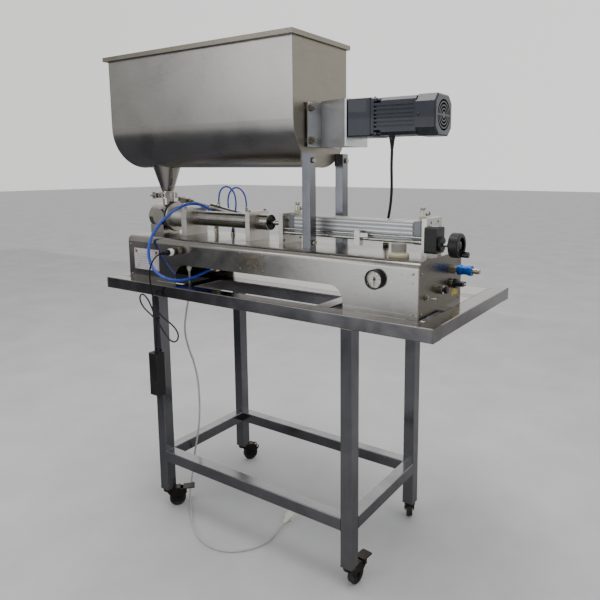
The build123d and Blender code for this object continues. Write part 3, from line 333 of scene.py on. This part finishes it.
# The material of each CAD node. The caster's parts aren't listed: their names decide.
WEARS = {
    "table_rails": "rail", "shelf_sheet": "shelf", "leg_frame": "leg", "housing_cover": "housing",
    "housing_ends": "panel", "housing_screws": "bolt", "gauge_case": "black_gloss",
    "gauge_pointer": "black", "panel_fittings": "nickel", "air_coupler_sleeve": "blue",
    "selector_knob": "black", "push_button": "black", "toggle_lever": "rod",
    "valve_body": "polished", "valve_rotor": "polished", "valve_gasket": "rubber",
    "pipe_clamp": "polished_z", "clamp_wing_nut": "bolt", "cylinder_blocks": "plate",
    "material_tube": "polished", "piston_rod": "rod", "cylinder_plates": "plate",
    "air_cylinder": "aluminium", "guide_rod": "rod", "lead_screw": "rod",
    "sensor_carriage": "aluminium", "position_counter": "black", "handwheel": "black",
    "handwheel_grip": "black_gloss", "actuator_barrel": "rod", "actuator_rod": "bolt",
    "hopper_shell": "hopper", "hopper_ends": "hopper_end", "hopper_cone": "polished_z",
    "agitator": "polished_z", "hopper_posts": "leg", "motor_bracket": "bracket",
    "gearbox": "motor", "motor": "motor", "fan_cover": "motor", "fan": "black",
    "frame_bolts": "bolt", "control_lead_ends": "black", "mains_connector": "white",
    "motor_cable": "cable_black", "control_lead": "cable_black", "mains_lead": "cable_white",
    "air_hose": "hose", "loop_tube_a": "hose_dark", "loop_tube_b": "hose_dark",
}
for name, node in NODES.items():
    key = WEARS.get(name) or ("tyre" if "wheel" in name else "zinc")
    node.data.materials.clear()
    node.data.materials.append(M[key])


# ------------------------------------------------------------------ cords
def cord_curve(name, points_mm, diameter, material):
    """A smooth cord through its route, as a NURBS spline of order three."""
    data = bpy.data.curves.new(name, "CURVE")
    data.dimensions = "3D"
    data.bevel_depth = diameter / 2
    data.bevel_resolution = 6
    data.resolution_u = 10
    spline = data.splines.new("NURBS")
    spline.points.add(len(points_mm) - 1)
    for point, place in zip(spline.points, points_mm):
        point.co = [c / 1000 for c in place] + [1.0]
    spline.order_u = 3
    spline.use_endpoint_u = True
    obj = bpy.data.objects.new(name, data)
    bpy.context.scene.collection.objects.link(obj)
    data.materials.append(M[material])
    return obj


motor_cable_points = [
    (409, -97, 1279), (409, -97, 1245), (405, -92, 1208), (400, -80, 1168), (392, -64, 1128),
    (379, -47, 1086), (364, -32, 1048), (352, -22, 1012), (352, -22, 975),
]
control_lead_points = [
    (-312, -312, 925), (-312, -334, 925), (-322, -348, 906), (-338, -349, 878), (-352, -340, 846),
    (-363, -328, 810), (-367, -319, 772), (-362, -313, 740), (-344, -312, 716), (-318, -312, 702),
    (-290, -313, 692), (-264, -315, 678), (-250, -317, 658), (-258, -320, 638), (-280, -322, 634),
    (-304, -322, 650), (-326, -322, 674), (-350, -323, 700), (-378, -325, 716), (-405, -328, 734),
    (-420, -331, 758), (-412, -334, 780), (-390, -336, 784), (-368, -336, 766), (-352, -335, 738),
    (-342, -333, 706), (-342, -329, 670), (-350, -325, 634), (-359, -322, 606), (-359, -322, 586),
]
mains_lead_points = [
    (-318, -200, 864), (-318, -200, 820), (-326, -200, 756), (-345, -199, 694), (-358, -198, 630),
    (-344, -196, 572), (-318, -194, 518), (-303, -192, 452), (-303, -190, 372), (-312, -186, 296),
    (-333, -180, 228), (-356, -174, 162), (-368, -172, 104), (-372, -178, 58), (-366, -193, 20),
    (-344, -216, 3.4), (-304, -250, 3.4), (-250, -296, 3.4), (-192, -338, 3.4), (-130, -366, 3.4),
    (-64, -374, 3.4), (-6, -354, 3.4), (36, -310, 3.4), (56, -262, 3.4), (54, -214, 4.5),
    (45, -176, 9), (41.6, -152, 9),
]
air_hose_points = [
    (-325, -57, 983), (-325, -57, 1008), (-337, -58, 1034), (-355, -65, 1054), (-373, -80, 1068),
    (-390, -104, 1074), (-405, -134, 1069), (-418, -165, 1054), (-430, -196, 1030),
    (-438, -226, 1000), (-440, -249, 972), (-442, -264, 940), (-436, -274, 906),
    (-420, -280, 874), (-392, -280, 848), (-356, -272, 830), (-318, -254, 823),
    (-286, -226, 829), (-266, -192, 843), (-262, -160, 853), (-262, -138, 853),
]
loop_tube_a_points = [
    (-337, -30, 1071), (-337, -30, 1096), (-324, -34, 1120), (-298, -41, 1134), (-266, -48, 1134),
    (-238, -54, 1116), (-226, -57, 1086), (-230, -58, 1046), (-245, -57, 1010), (-245, -57, 975),
]
loop_tube_b_points = [
    (-203, -30, 1056), (-203, -30, 1082), (-214, -26, 1108), (-238, -19, 1126), (-270, -12, 1132),
    (-299, -7, 1120), (-317, -4, 1092), (-318, -2, 1054), (-297, -1, 1012), (-297, -1, 975),
]


# ------------------------------------------------------------------ mesh helpers
SHARP_EDGE = math.radians(35)


def add(name, mesh, material, body=ROOT, smooth=True, bevel=0.0):
    """Link a bmesh as a piece that rides on a body. The bevel's width is in metres."""
    data = bpy.data.meshes.new(name)
    bmesh.ops.recalc_face_normals(mesh, faces=mesh.faces)
    mesh.to_mesh(data)
    mesh.free()
    data.materials.append(M[material])
    obj = bpy.data.objects.new(name, data)
    bpy.context.scene.collection.objects.link(obj)
    if smooth:
        for polygon in data.polygons:
            polygon.use_smooth = True
        data.set_sharp_from_angle(angle=SHARP_EDGE)
    if bevel:
        modifier = obj.modifiers.new("edges", "BEVEL")
        modifier.width = bevel
        modifier.segments = 2
        modifier.limit_method = "ANGLE"
    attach(obj, body)
    return obj


def frame_to(direction):
    """A rotation that turns +Z to a direction."""
    return Vector(direction).normalized().to_track_quat("Z", "Y").to_matrix().to_4x4()


def lathe_into(mesh, profile, origin, direction, segments=32, knurl=None):
    """Revolve (radius, height) pairs about an axis into a bmesh, in millimetres.

    knurl gives what to add to the radius at each of the ring's points.
    """
    turn = frame_to(direction)
    rings = []
    for radius, height in profile:
        ring = []
        for index in range(segments):
            angle = 2 * math.pi * index / segments
            r = radius + (knurl(index) if knurl else 0.0)
            local = Vector((r * math.cos(angle), r * math.sin(angle), height))
            ring.append(mesh.verts.new((turn @ local + Vector(origin)) / 1000))
        rings.append(ring)
    for low, high in zip(rings, rings[1:]):
        for index in range(segments):
            after = (index + 1) % segments
            mesh.faces.new((low[index], low[after], high[after], high[index]))
    mesh.faces.new(list(reversed(rings[0])))
    mesh.faces.new(rings[-1])


def lathe(name, profile, origin, direction, material, body=ROOT, segments=32, knurl=None):
    """A turned piece: a profile of (radius, height) pairs round an axis."""
    mesh = bmesh.new()
    lathe_into(mesh, profile, origin, direction, segments, knurl)
    return add(name, mesh, material, body)


def box_into(mesh, low, high):
    """A box between two corners in millimetres."""
    made = bmesh.ops.create_cube(mesh, size=1.0)
    centre = [(a + b) / 2000 for a, b in zip(low, high)]
    size = [(b - a) / 1000 for a, b in zip(low, high)]
    for vert in made["verts"]:
        vert.co = Vector([c + v * s for c, v, s in zip(centre, vert.co, size)])


def slab(name, low, high, material, body=ROOT, bevel=0.0004):
    """A box as a piece of its own."""
    mesh = bmesh.new()
    box_into(mesh, low, high)
    return add(name, mesh, material, body, smooth=False, bevel=bevel)


BEAD_PITCH = 2.6  # millimetres from one ripple of a weld to the next
BEAD_CORNERS = 8


def bead(name, runs, radius, seed):
    """Weld beads: rippled half-sunk ropes along straight or bent runs, in millimetres."""
    rng = random.Random(seed)
    mesh = bmesh.new()
    for run in runs:
        places = [Vector(p) for p in run]
        steps = []
        for start, end in zip(places, places[1:]):
            count = max(2, int((end - start).length / BEAD_PITCH))
            for index in range(count):
                steps.append((start.lerp(end, index / count), (end - start).normalized()))
        steps.append((places[-1], (places[-1] - places[-2]).normalized()))
        rings = []
        for index, (place, heading) in enumerate(steps):
            turn = heading.to_track_quat("Z", "Y").to_matrix()
            size = radius * (0.80 + 0.22 * (index % 2) + 0.12 * rng.random())
            if index in (0, len(steps) - 1):
                size *= 0.3
            ring = []
            for corner in range(BEAD_CORNERS):
                angle = 2 * math.pi * corner / BEAD_CORNERS
                local = Vector((size * math.cos(angle), size * math.sin(angle), 0))
                ring.append(mesh.verts.new((turn @ local + place) / 1000))
            rings.append(ring)
        for low, high in zip(rings, rings[1:]):
            for corner in range(BEAD_CORNERS):
                after = (corner + 1) % BEAD_CORNERS
                mesh.faces.new((low[corner], low[after], high[after], high[corner]))
        mesh.faces.new(list(reversed(rings[0])))
        mesh.faces.new(rings[-1])
    return add(name, mesh, "weld")


def socket_screws(name, places, direction, radius, height, material):
    """Socket-head cap screws: round heads with a hexagon recess."""
    mesh = bmesh.new()
    for place in places:
        lathe_into(mesh, [(radius * 0.98, 0), (radius, 0.3), (radius, height - 0.8),
                          (radius - 0.8, height), (radius * 0.62, height)],
                   place, direction, 24)
        turn = frame_to(direction)
        reach = radius * 0.56
        rings = []
        for depth in (0.05, -height * 0.5):
            corners = [Vector((reach * math.cos(math.pi * k / 3), reach * math.sin(math.pi * k / 3),
                               height + depth)) for k in range(6)]
            rings.append([mesh.verts.new((turn @ c + Vector(place)) / 1000) for c in corners])
        for k in range(6):
            mesh.faces.new((rings[0][k], rings[0][(k + 1) % 6], rings[1][(k + 1) % 6], rings[1][k]))
        mesh.faces.new(rings[1])
    return add(name, mesh, material)


def relief(name, origin, direction, length, wide, narrow, material, ribs=6):
    """A tapered, ribbed strain relief or collar nut round the start of a cord.

    wide and narrow are its radii at the start and the end.
    """
    profile = [(wide * 0.9, 0.0), (wide, 0.6)]
    for index in range(ribs):
        start = 0.16 + 0.8 * index / ribs
        radius = wide + (narrow - wide) * start
        for step, factor in ((0.10, 1.0), (0.42, 1.0), (0.50, 0.84), (0.86, 0.84)):
            profile.append((radius * factor, length * (start + 0.8 / ribs * step)))
    profile.append((narrow, length * 0.985))
    profile.append((narrow * 0.92, length))
    return lathe(name, profile, origin, direction, material, segments=28)


# ------------------------------------------------------------------ cord ends and runs
motor_relief = relief("motor_cable_relief", (409, -97, 1279.5), DOWN, 26, 7.6, 4.8, "black")
motor_gland = lathe("motor_cable_gland_nut",
                    [(8.6, 0), (8.6, 7), (6.4, 9), (6.2, 15), (4.6, 17)],
                    (352, -22, 974.6), UP, "nickel", segments=6)
motor_cable = cord_curve("motor_cable_run", motor_cable_points, 0.008, "cable_black")
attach(motor_cable, ROOT)
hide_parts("motor_cable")

plug_relief = relief("control_plug_relief", (-312, -311.5, 925), FORWARD, 20, 5.6, 3.1, "black")
box_relief = relief("control_box_relief", (-359, -322, 585.5), UP, 22, 5.6, 3.1, "black")
tie = lathe("control_lead_tie", [(9.0, -1.6), (9.8, -1.2), (9.8, 1.2), (9.0, 1.6)],
            (-346, -323, 706), (0.25, 0.1, 1), "black", segments=20)
control_lead = cord_curve("control_lead_run", control_lead_points, 0.005, "cable_black")
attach(control_lead, ROOT)
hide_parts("control_lead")

mains_gland = lathe("mains_gland_nut", [(8.8, 0), (8.8, 6), (6.2, 8), (5.8, 14), (3.9, 16)],
                    (-318, -200, 864.4), DOWN, "white", segments=6)
mains_lead = cord_curve("mains_lead_run", mains_lead_points, 0.0065, "cable_white")
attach(mains_lead, ROOT)
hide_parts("mains_lead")

hose_nut = lathe("air_hose_nut", [(8.4, 0), (8.4, 8), (6.9, 9.5), (6.9, 14), (5.6, 16)],
                 (-325, -57, 982.6), UP, "nickel", segments=6)
hose_end = relief("air_hose_end_nut", (-262, -137.6, 853), FORWARD, 20, 7.4, 5.6, "nickel",
                  ribs=3)
air_hose = cord_curve("air_hose_run", air_hose_points, 0.010, "hose")
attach(air_hose, ROOT)
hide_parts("air_hose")

for letter, points, nut_feet, length in (
        ("a", loop_tube_a_points, ((-337, -30, 1070.6), (-245, -57, 974.6)), 0.292),
        ("b", loop_tube_b_points, ((-203, -30, 1055.6), (-297, -1, 974.6)), 0.301)):
    for index, foot in enumerate(nut_feet):
        lathe(f"loop_tube_{letter}_nut_{index + 1}",
                          [(5.6, 0), (5.6, 5), (4.6, 6), (4.6, 9), (3.4, 10.5)],
                          foot, UP, "nickel" if index == 0 else "black", segments=6)
    tube = cord_curve(f"loop_tube_{letter}_run", points, 0.006, "hose")
    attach(tube, ROOT)
    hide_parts(f"loop_tube_{letter}")


# ------------------------------------------------------------------ housing details
slab("label_plate", (-540, FRONT - 1.2, 846), (-412, FRONT + 0.2, 920), "label")
rows = bmesh.new()  # blank rules in place of the plate's text
for index, width in enumerate((62, 88, 88, 54, 76, 36)):
    high = 900 - index * 8
    box_into(rows, (-526, FRONT - 1.4, high - 0.6), (-526 + width, FRONT - 1.1, high + 0.6))
add("label_rules", rows, "print", smooth=False)
marks = bmesh.new()
for left in (-533, -428):
    box_into(marks, (left, FRONT - 1.45, 905), (left + 11, FRONT - 1.1, 914))
add("label_marks", marks, "red", smooth=False)
socket_screws("label_rivets", [(x, FRONT - 1.1, z) for x in (-535, -417) for z in (851, 915)],
              FORWARD, 2.4, 1.4, "bolt")
slab("yellow_label", (PANEL - 0.2, -36, 838), (PANEL + 0.5, 8, 858), "yellow")

# Gauge: case with its bezel, glass, dial plate, ticks and numbers.
GAUGE_X, GAUGE_Z = 447.0, 909.0
DIAL_START, DIAL_SWEEP = 225, 270  # degrees, anticlockwise from +X
TICKS, TICKS_PER_NUMBER = 30, 5
TICK_Y = FRONT - 7.15
TICK_END = 21.0
case = lathe("gauge_case_turned",
             [(26.0, 0.2), (27.0, 1.2), (27.0, 13.2), (26.4, 15.0), (25.0, 16.0), (23.8, 15.8),
              (23.0, 14.6), (22.9, 6.0)],
             (GAUGE_X, FRONT, GAUGE_Z), FORWARD, "black_gloss", segments=72)
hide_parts("gauge_case")
lathe("gauge_glass", [(22.85, 13.0), (22.85, 14.2), (22.0, 14.4)],
      (GAUGE_X, FRONT, GAUGE_Z), FORWARD, "glass", segments=64)
lathe("gauge_dial", [(22.8, 0), (22.8, 0.5), (22.4, 0.8)], (GAUGE_X, FRONT - 6.1, GAUGE_Z),
      FORWARD, "dial", segments=48)
ticks = bmesh.new()
for index in range(TICKS + 1):
    angle = math.radians(DIAL_START - index * DIAL_SWEEP / TICKS)
    inner, width = (18.6, 0.28) if index % TICKS_PER_NUMBER else (16.4, 0.55)
    across = Vector((-math.sin(angle), 0, math.cos(angle))) * width
    along = Vector((math.cos(angle), 0, math.sin(angle)))
    centre = Vector((GAUGE_X, TICK_Y, GAUGE_Z))
    corners = [centre + along * inner - across, centre + along * TICK_END - across,
               centre + along * TICK_END + across, centre + along * inner + across]
    front = [ticks.verts.new(c / 1000) for c in corners]
    back = [ticks.verts.new((c + Vector((0, 0.5, 0))) / 1000) for c in corners]
    ticks.faces.new(front)
    ticks.faces.new(list(reversed(back)))
    for k in range(4):
        ticks.faces.new((front[k], back[k], back[(k + 1) % 4], front[(k + 1) % 4]))
add("gauge_ticks", ticks, "black", smooth=False)
NUMBER_RING = 12.6
for index in range(TICKS // TICKS_PER_NUMBER + 1):
    angle = math.radians(DIAL_START - index * DIAL_SWEEP * TICKS_PER_NUMBER / TICKS)
    text = bpy.data.curves.new(f"gauge_number_{index}", "FONT")
    text.body = str(index * 2)
    text.size = 0.0048
    text.extrude = 0.0001
    text.align_x = "CENTER"
    text.align_y = "CENTER"
    number = bpy.data.objects.new(f"gauge_number_{index}", text)
    bpy.context.scene.collection.objects.link(number)
    number.location = ((GAUGE_X + NUMBER_RING * math.cos(angle)) / 1000, (FRONT - 7.1) / 1000,
                       (GAUGE_Z + NUMBER_RING * math.sin(angle)) / 1000)
    number.rotation_euler = (math.radians(90), 0, 0)
    text.materials.append(M["black"])
    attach(number, ROOT)

# Signal socket's nut and plug, the selector's mark and the cable cap.
lathe("signal_coupling_nut", [(9.6, 0), (11.2, 1), (11.2, 12), (9.6, 13.5)],
      (-312, FRONT - 9, 925), FORWARD, "black_gloss", segments=48,
      knurl=lambda index: 0.35 if index % 2 else -0.25)
lathe("signal_plug_shell", [(10.4, 0), (11.6, 1.2), (11.6, 13), (10.2, 15)],
      (-312, FRONT - 27, 925), FORWARD, "white", segments=48,
      knurl=lambda index: 0.3 if index % 3 else -0.2)
slab("selector_mark", (607.2, -27.2, 872.6), (607.9, -14, 875.4), "white", "selector_knob")
CABLE_CAP = (478, -180, TOP)
lathe("cable_cap_shell",
      [(27.6, -0.1), (28.2, 1.2), (28.2, 6.8), (26.6, 8.4), (20.4, 8.6), (20.2, 13), (19.0, 14)],
      CABLE_CAP, UP, "cream", segments=56)
ridged = [(18.8, 13.0)]
for index in range(9):
    low = 13.6 + index * 2.5
    ridged += [(20.6, low), (20.6, low + 1.7), (20.0, low + 1.9), (20.0, low + 2.3)]
ridged += [(19.2, 36.3), (16.0, 36.6)]
lathe("cable_cap_dome", ridged, CABLE_CAP, UP, "grey_cap", segments=56)

# Glands round the motor cable and the loop tubes, and the start button's collar.
for index, (x, y, radius, height) in enumerate(
        ((352, -22, 9.0, 12.0), (-245, -57, 7.0, 12.0), (-297, -1, 7.0, 12.0))):
    lathe(f"top_gland_{index + 1}",
          [(radius + 0.35, 0.1), (radius + 0.35, height * 0.5), (radius - 0.9, height * 0.55),
           (radius + 0.2, height * 0.62), (radius + 0.2, height * 0.92),
           (radius - 1.2, height + 0.3)],
          (x, y, TOP), UP, "black", segments=8 if index else 40)
lathe("button_collar", [(11.6, 0.1), (12.0, 1.0), (12.0, 10.6), (10.8, 12.2)],
      (PANEL, -122, 873), RIGHT, "rod", segments=40,
      knurl=lambda index: 0.2 if index % 2 else -0.2)

# ------------------------------------------------------------------ plates, blocks and cylinder
socket_screws("split_block_screws",
              [(x, y, BLOCK_TOP) for x in (-395.0, -95.0) for y in (-136.0, -58.0)],
              UP, 5.0, 5.0, "bolt")
socket_screws("end_plate_screws",
              [(51.8, y, z) for y in (-140.0, -54.0) for z in (975.0, 1050.0)]
              + [(543.8, y, z) for y in (-66.0, -54.0) for z in (973.0, 1000.0)],
              RIGHT, 3.6, 3.4, "bolt")

# Air cylinder: recessed face painted darker than its bright ribs, as painted shade in the grooves,
# and grey caps.
for side, face in (("front", -129.4), ("back", -64.6)):
    slab(f"profile_recess_{side}", (86, face - 0.9, 995), (494, face + 0.9, 1051), "recess")
    ribs_mesh = bmesh.new()
    for index in range(5):
        low = 996.5 + index * 11.4
        box_into(ribs_mesh, (85.4, face - 1.9, low), (494.6, face + 1.9, low + 6.2))
    add(f"profile_ribs_{side}", ribs_mesh, "aluminium", smooth=False, bevel=0.0012)
for index, (left, right) in enumerate(((63.2, 84.8), (495.2, 518.8))):
    slab(f"profile_cap_{index + 1}", (left, -129.2, 991.2), (right, -64.8, 1054.8), "cap_grey",
         bevel=0.0018)

# Throttle valves on the cylinder's caps.
TUBE_OUTLET = (0.35, 0.94, 0.05)  # the way their elbows point
for index, x in enumerate((73.0, 508.0)):
    lathe(f"throttle_body_{index + 1}",
          [(10.4, 0), (11.0, 0.8), (11.0, 9), (10.0, 10), (8.4, 10.4), (8.4, 12)],
          (x, LINE_Y, CAP_TOP), UP, "cream", segments=6)
    lathe(f"throttle_hexagon_{index + 1}",
          [(7.6, 0), (8.4, 0.6), (8.4, 6.0), (7.6, 6.6), (5.4, 7.0), (5.4, 12)],
          (x, LINE_Y, CAP_TOP + 11.5), UP, "nickel", segments=6)
    lathe(f"throttle_knob_{index + 1}",
          [(5.6, 0), (6.4, 1.0), (5.0, 4.0), (5.0, 5.0), (7.6, 7.0), (7.6, 12.0), (6.4, 13.2)],
          (x, LINE_Y, CAP_TOP + 21.5), UP, "nickel",
          segments=40, knurl=lambda index: 0.3 if index % 2 else -0.3)
    lathe(f"throttle_port_{index + 1}", [(6.2, 8), (6.2, 19), (5.0, 20.5)],
          (x, LINE_Y, CAP_TOP + 15), TUBE_OUTLET, "nickel", segments=24)
    lathe(f"throttle_release_{index + 1}", [(5.2, 20), (5.6, 21), (5.6, 24), (4.2, 25)],
          (x, LINE_Y, CAP_TOP + 15), TUBE_OUTLET, "hose_dark", segments=28)

# Rubber face of the piston.
lathe("piston_face",
      [(9.2, 0.2), (26.1, 0.2), (26.1, 1.4), (24.6, 1.9), (12.0, 1.9), (11.0, 1.2), (9.2, 1.2)],
      (-42, LINE_Y, LINE_Z), RIGHT, "rubber", "piston_rod", 56)

# Thread of the lead screw: a triangular ridge wound round it.
THREAD_START, THREAD_PITCH, THREAD_TURNS = 56, 4.0, 110
TURN_STEPS = 12
RIDGE = ((-1.5, 3.7), (0.0, 4.35), (1.5, 3.7))  # offset along the screw, radius
thread = bmesh.new()
rings = []
for index in range(THREAD_TURNS * TURN_STEPS):
    angle = 2 * math.pi * index / TURN_STEPS
    x = THREAD_START + index / TURN_STEPS * THREAD_PITCH
    rings.append([thread.verts.new(Vector((x + dx, SCREW_Y + radius * math.cos(angle),
                                           SCREW_Z + radius * math.sin(angle))) / 1000)
                  for dx, radius in RIDGE])
for low, high in zip(rings, rings[1:]):
    for k in range(3):
        thread.faces.new((low[k], low[(k + 1) % 3], high[(k + 1) % 3], high[k]))
thread.faces.new(rings[0])
thread.faces.new(list(reversed(rings[-1])))
add("lead_screw_thread", thread, "rod", "handwheel")

# Window and number drums of the position counter, and the handwheel's hub.
slab("counter_window_frame", (549, -150, 1043.8), (575, -124, 1045.0), "black_gloss")
slab("counter_window", (551, -148, 1044.8), (573, -126, 1045.3), "dark_slot")
drums = bmesh.new()
for index in range(4):
    box_into(drums, (552.6 + index * 5.1, -144, 1045.1), (556.4 + index * 5.1, -130, 1045.6))
add("counter_drums", drums, "white", smooth=False)

lathe("handwheel_hub_cap", [(11.4, 0), (11.4, 2.0), (9.0, 3.4), (4.0, 3.8)],
      (633.5, SCREW_Y, SCREW_Z), RIGHT, "black_gloss", "handwheel", 36)

# ------------------------------------------------------------------ hopper and motor details
SEAM, CONE_SEAM, TABLE_SEAM = 0.9, 1.6, 1.3  # radii of the beads
seams = []
for y in (LINE_Y - TROUGH_RADIUS - 0.2, LINE_Y + TROUGH_RADIUS + 0.2):
    for x in (TROUGH_RIGHT, TROUGH_LEFT):
        seams.append([(x, y, TROUGH_SEAM_TOP), (x, y, TROUGH_Z)])
bead("hopper_seam", seams, SEAM, seed=5)
half_circle = [math.pi * k / 28 for k in range(29)]
bead("hopper_seam_round",
     [[(x, LINE_Y - 138.1 * math.cos(angle), TROUGH_Z - 138.1 * math.sin(angle))
       for angle in half_circle] for x in (TROUGH_RIGHT + 0.2, TROUGH_LEFT - 0.2)],
     SEAM, seed=6)
# Where the cone's round mouth meets the trough's round bottom.
CONE_X, CONE_MOUTH = -530, 50.5
circle = [math.pi * k / 20 for k in range(41)]
bead("cone_seam",
     [[(CONE_X + CONE_MOUTH * math.cos(angle), LINE_Y + CONE_MOUTH * math.sin(angle),
        TROUGH_Z - math.sqrt(138.4 ** 2 - (CONE_MOUTH * math.sin(angle)) ** 2))
       for angle in circle]],
     CONE_SEAM, seed=7)
rim_corners = bmesh.new()
for x, y in ((176.2, -249.2), (176.2, 50.2), (-660.2, -249.2), (-660.2, 50.2)):
    box_into(rim_corners, (x - 0.4, y - 0.4, RIM_Z - 13.5), (x + 0.4, y + 0.4, RIM_Z - 0.5))
add("rim_corner_welds", rim_corners, "weld", smooth=False)
corner_seams = [[(x, -299.7, 776), (x, -299.7, 810)] for x in (-634.5, 634.5)]
for y in (-261.2, -299.7, 89.8):
    corner_seams += [[(x, y, RAIL_UNDER), (x + LEG_WIDTH, y, RAIL_UNDER)] for x in LEG_LEFTS]
for x in (-359.8, 365.8):
    corner_seams += [[(x, -299.6, z), (x, -262, z)] for z in STRETCHER_EDGES]
corner_seams += [[(x, -261.3, 219.0), (x + LEG_WIDTH, -261.3, 219.0)] for x in LEG_LEFTS]
bead("table_corner_welds", corner_seams, TABLE_SEAM, seed=8)

for side, heading in (("front", -1), ("back", 1)):
    socket_screws(f"fan_cover_screw_{side}", [(513, LINE_Y + heading * 54.4, TROUGH_Z)],
                  (0, heading, 0), 4.6, 1.8, "black_gloss")
socket_screws("adapter_screws", [(372.5, LINE_Y + y, 1390.6) for y in (-34, 34)], UP,
              3.4, 5.0, "bolt")

# Swivel races of the casters.
for corner, x, y in (("front_left", -379, -280.5), ("front_right", 385, -280.5),
                     ("back_left", -379, 109), ("back_right", 385, 109)):
    lathe(f"swivel_race_{corner}",
          [(16.4, 58.6), (18.6, 60.2), (18.6, 63.4), (17.0, 65.0), (12.0, 65.6)],
          (x, y, 0), UP, "zinc", f"caster_fork_{corner}", 40)

# ------------------------------------------------------------------ stage and light
FLOOR_REACH = 30.0
floor_mesh = bmesh.new()
bmesh.ops.create_grid(floor_mesh, x_segments=1, y_segments=1, size=FLOOR_REACH)
floor_data = bpy.data.meshes.new("floor")
floor_mesh.to_mesh(floor_data)
floor_mesh.free()
floor = bpy.data.objects.new("floor", floor_data)
bpy.context.scene.collection.objects.link(floor)
pale = Shader("floor_pale", Roughness=0.75)
pale.colour(pale.ramp(pale.noise(EVEN, 3.0, detail=6.0),
                      [(0.35, linear("#c4c5c7")), (0.7, linear("#d0d1d2"))]))
floor_data.materials.append(pale.material)

# A dark patch on the floor, seen only in reflections: bright steel needs something to reflect.
dark_data = floor_data.copy()
dark_floor = bpy.data.objects.new("dark_reflection", dark_data)
bpy.context.scene.collection.objects.link(dark_floor)
dark_floor.location = (-2.5, -2.0, 0.0004)
dark_floor.scale = (0.17, 0.17, 1.0)
dusk = Shader("dark_reflection", Roughness=0.9)
across = dusk.node("ShaderNodeSeparateXYZ")
dusk.link(dusk.coordinates, across.inputs["Vector"])
dusk.colour(dusk.ramp(dusk.span(across.outputs["X"], 0.0, 1.0, 4.0, 18.0),
                      [(0.15, linear("#42434c")), (0.85, linear("#a09f9f"))]))
dark_data.materials.clear()
dark_data.materials.append(dusk.material)
for unseen in ("visible_camera", "visible_diffuse", "visible_shadow", "visible_transmission"):
    setattr(dark_floor, unseen, False)

# The sky is darker towards the camera's side and brighter behind the machine.
world = bpy.data.worlds.new("studio")
bpy.context.scene.world = world
world.use_nodes = True
tree = world.node_tree
background = tree.nodes["Background"]
background.inputs["Strength"].default_value = 1.35
direction = tree.nodes.new("ShaderNodeTexCoord")
separate = tree.nodes.new("ShaderNodeSeparateXYZ")
reach = tree.nodes.new("ShaderNodeMapRange")
reach.inputs["From Min"].default_value = -1.0
sky = tree.nodes.new("ShaderNodeValToRGB")
tree.links.new(direction.outputs["Generated"], separate.inputs["Vector"])
tree.links.new(separate.outputs["Y"], reach.inputs["Value"])
tree.links.new(reach.outputs["Result"], sky.inputs["Fac"])
tree.links.new(sky.outputs["Color"], background.inputs["Color"])
sky_stops = [(0.0, "#a6a7a8"), (0.32, "#999896"), (0.60, "#dedddb"), (1.0, "#f4f4f3")]
set_stops(sky, [(place, linear(hexcode)) for place, hexcode in sky_stops])


def area(name, location, target, size, power, colour):
    """A soft rectangular light aimed at a point, unseen by the camera."""
    data = bpy.data.lights.new(name, "AREA")
    data.shape = "RECTANGLE"
    data.size = size[0]
    data.size_y = size[1]
    data.energy = power
    data.color = colour
    light = bpy.data.objects.new(name, data)
    light.location = location
    heading = Vector(target) - Vector(location)
    light.rotation_euler = heading.to_track_quat("-Z", "Y").to_euler()
    light.visible_camera = False
    bpy.context.scene.collection.objects.link(light)


area("ceiling", (-0.2, -0.2, 3.6), (0, 0, 0.8), (3.0, 1.6), 62, (1.0, 0.98, 0.95))
area("front_window", (-0.75, -3.1, 0.86), (0, -0.2, 1.0), (1.9, 1.5), 15, (0.93, 0.97, 1.0))
area("high_window", (-1.68, -2.63, 2.1), (0, -0.2, 1.4), (1.0, 0.9), 7, (0.96, 0.98, 1.0))
area("right_fill", (3.2, -0.4, 1.8), (0, 0, 1.0), (1.4, 1.6), 12, (1.0, 0.98, 0.95))
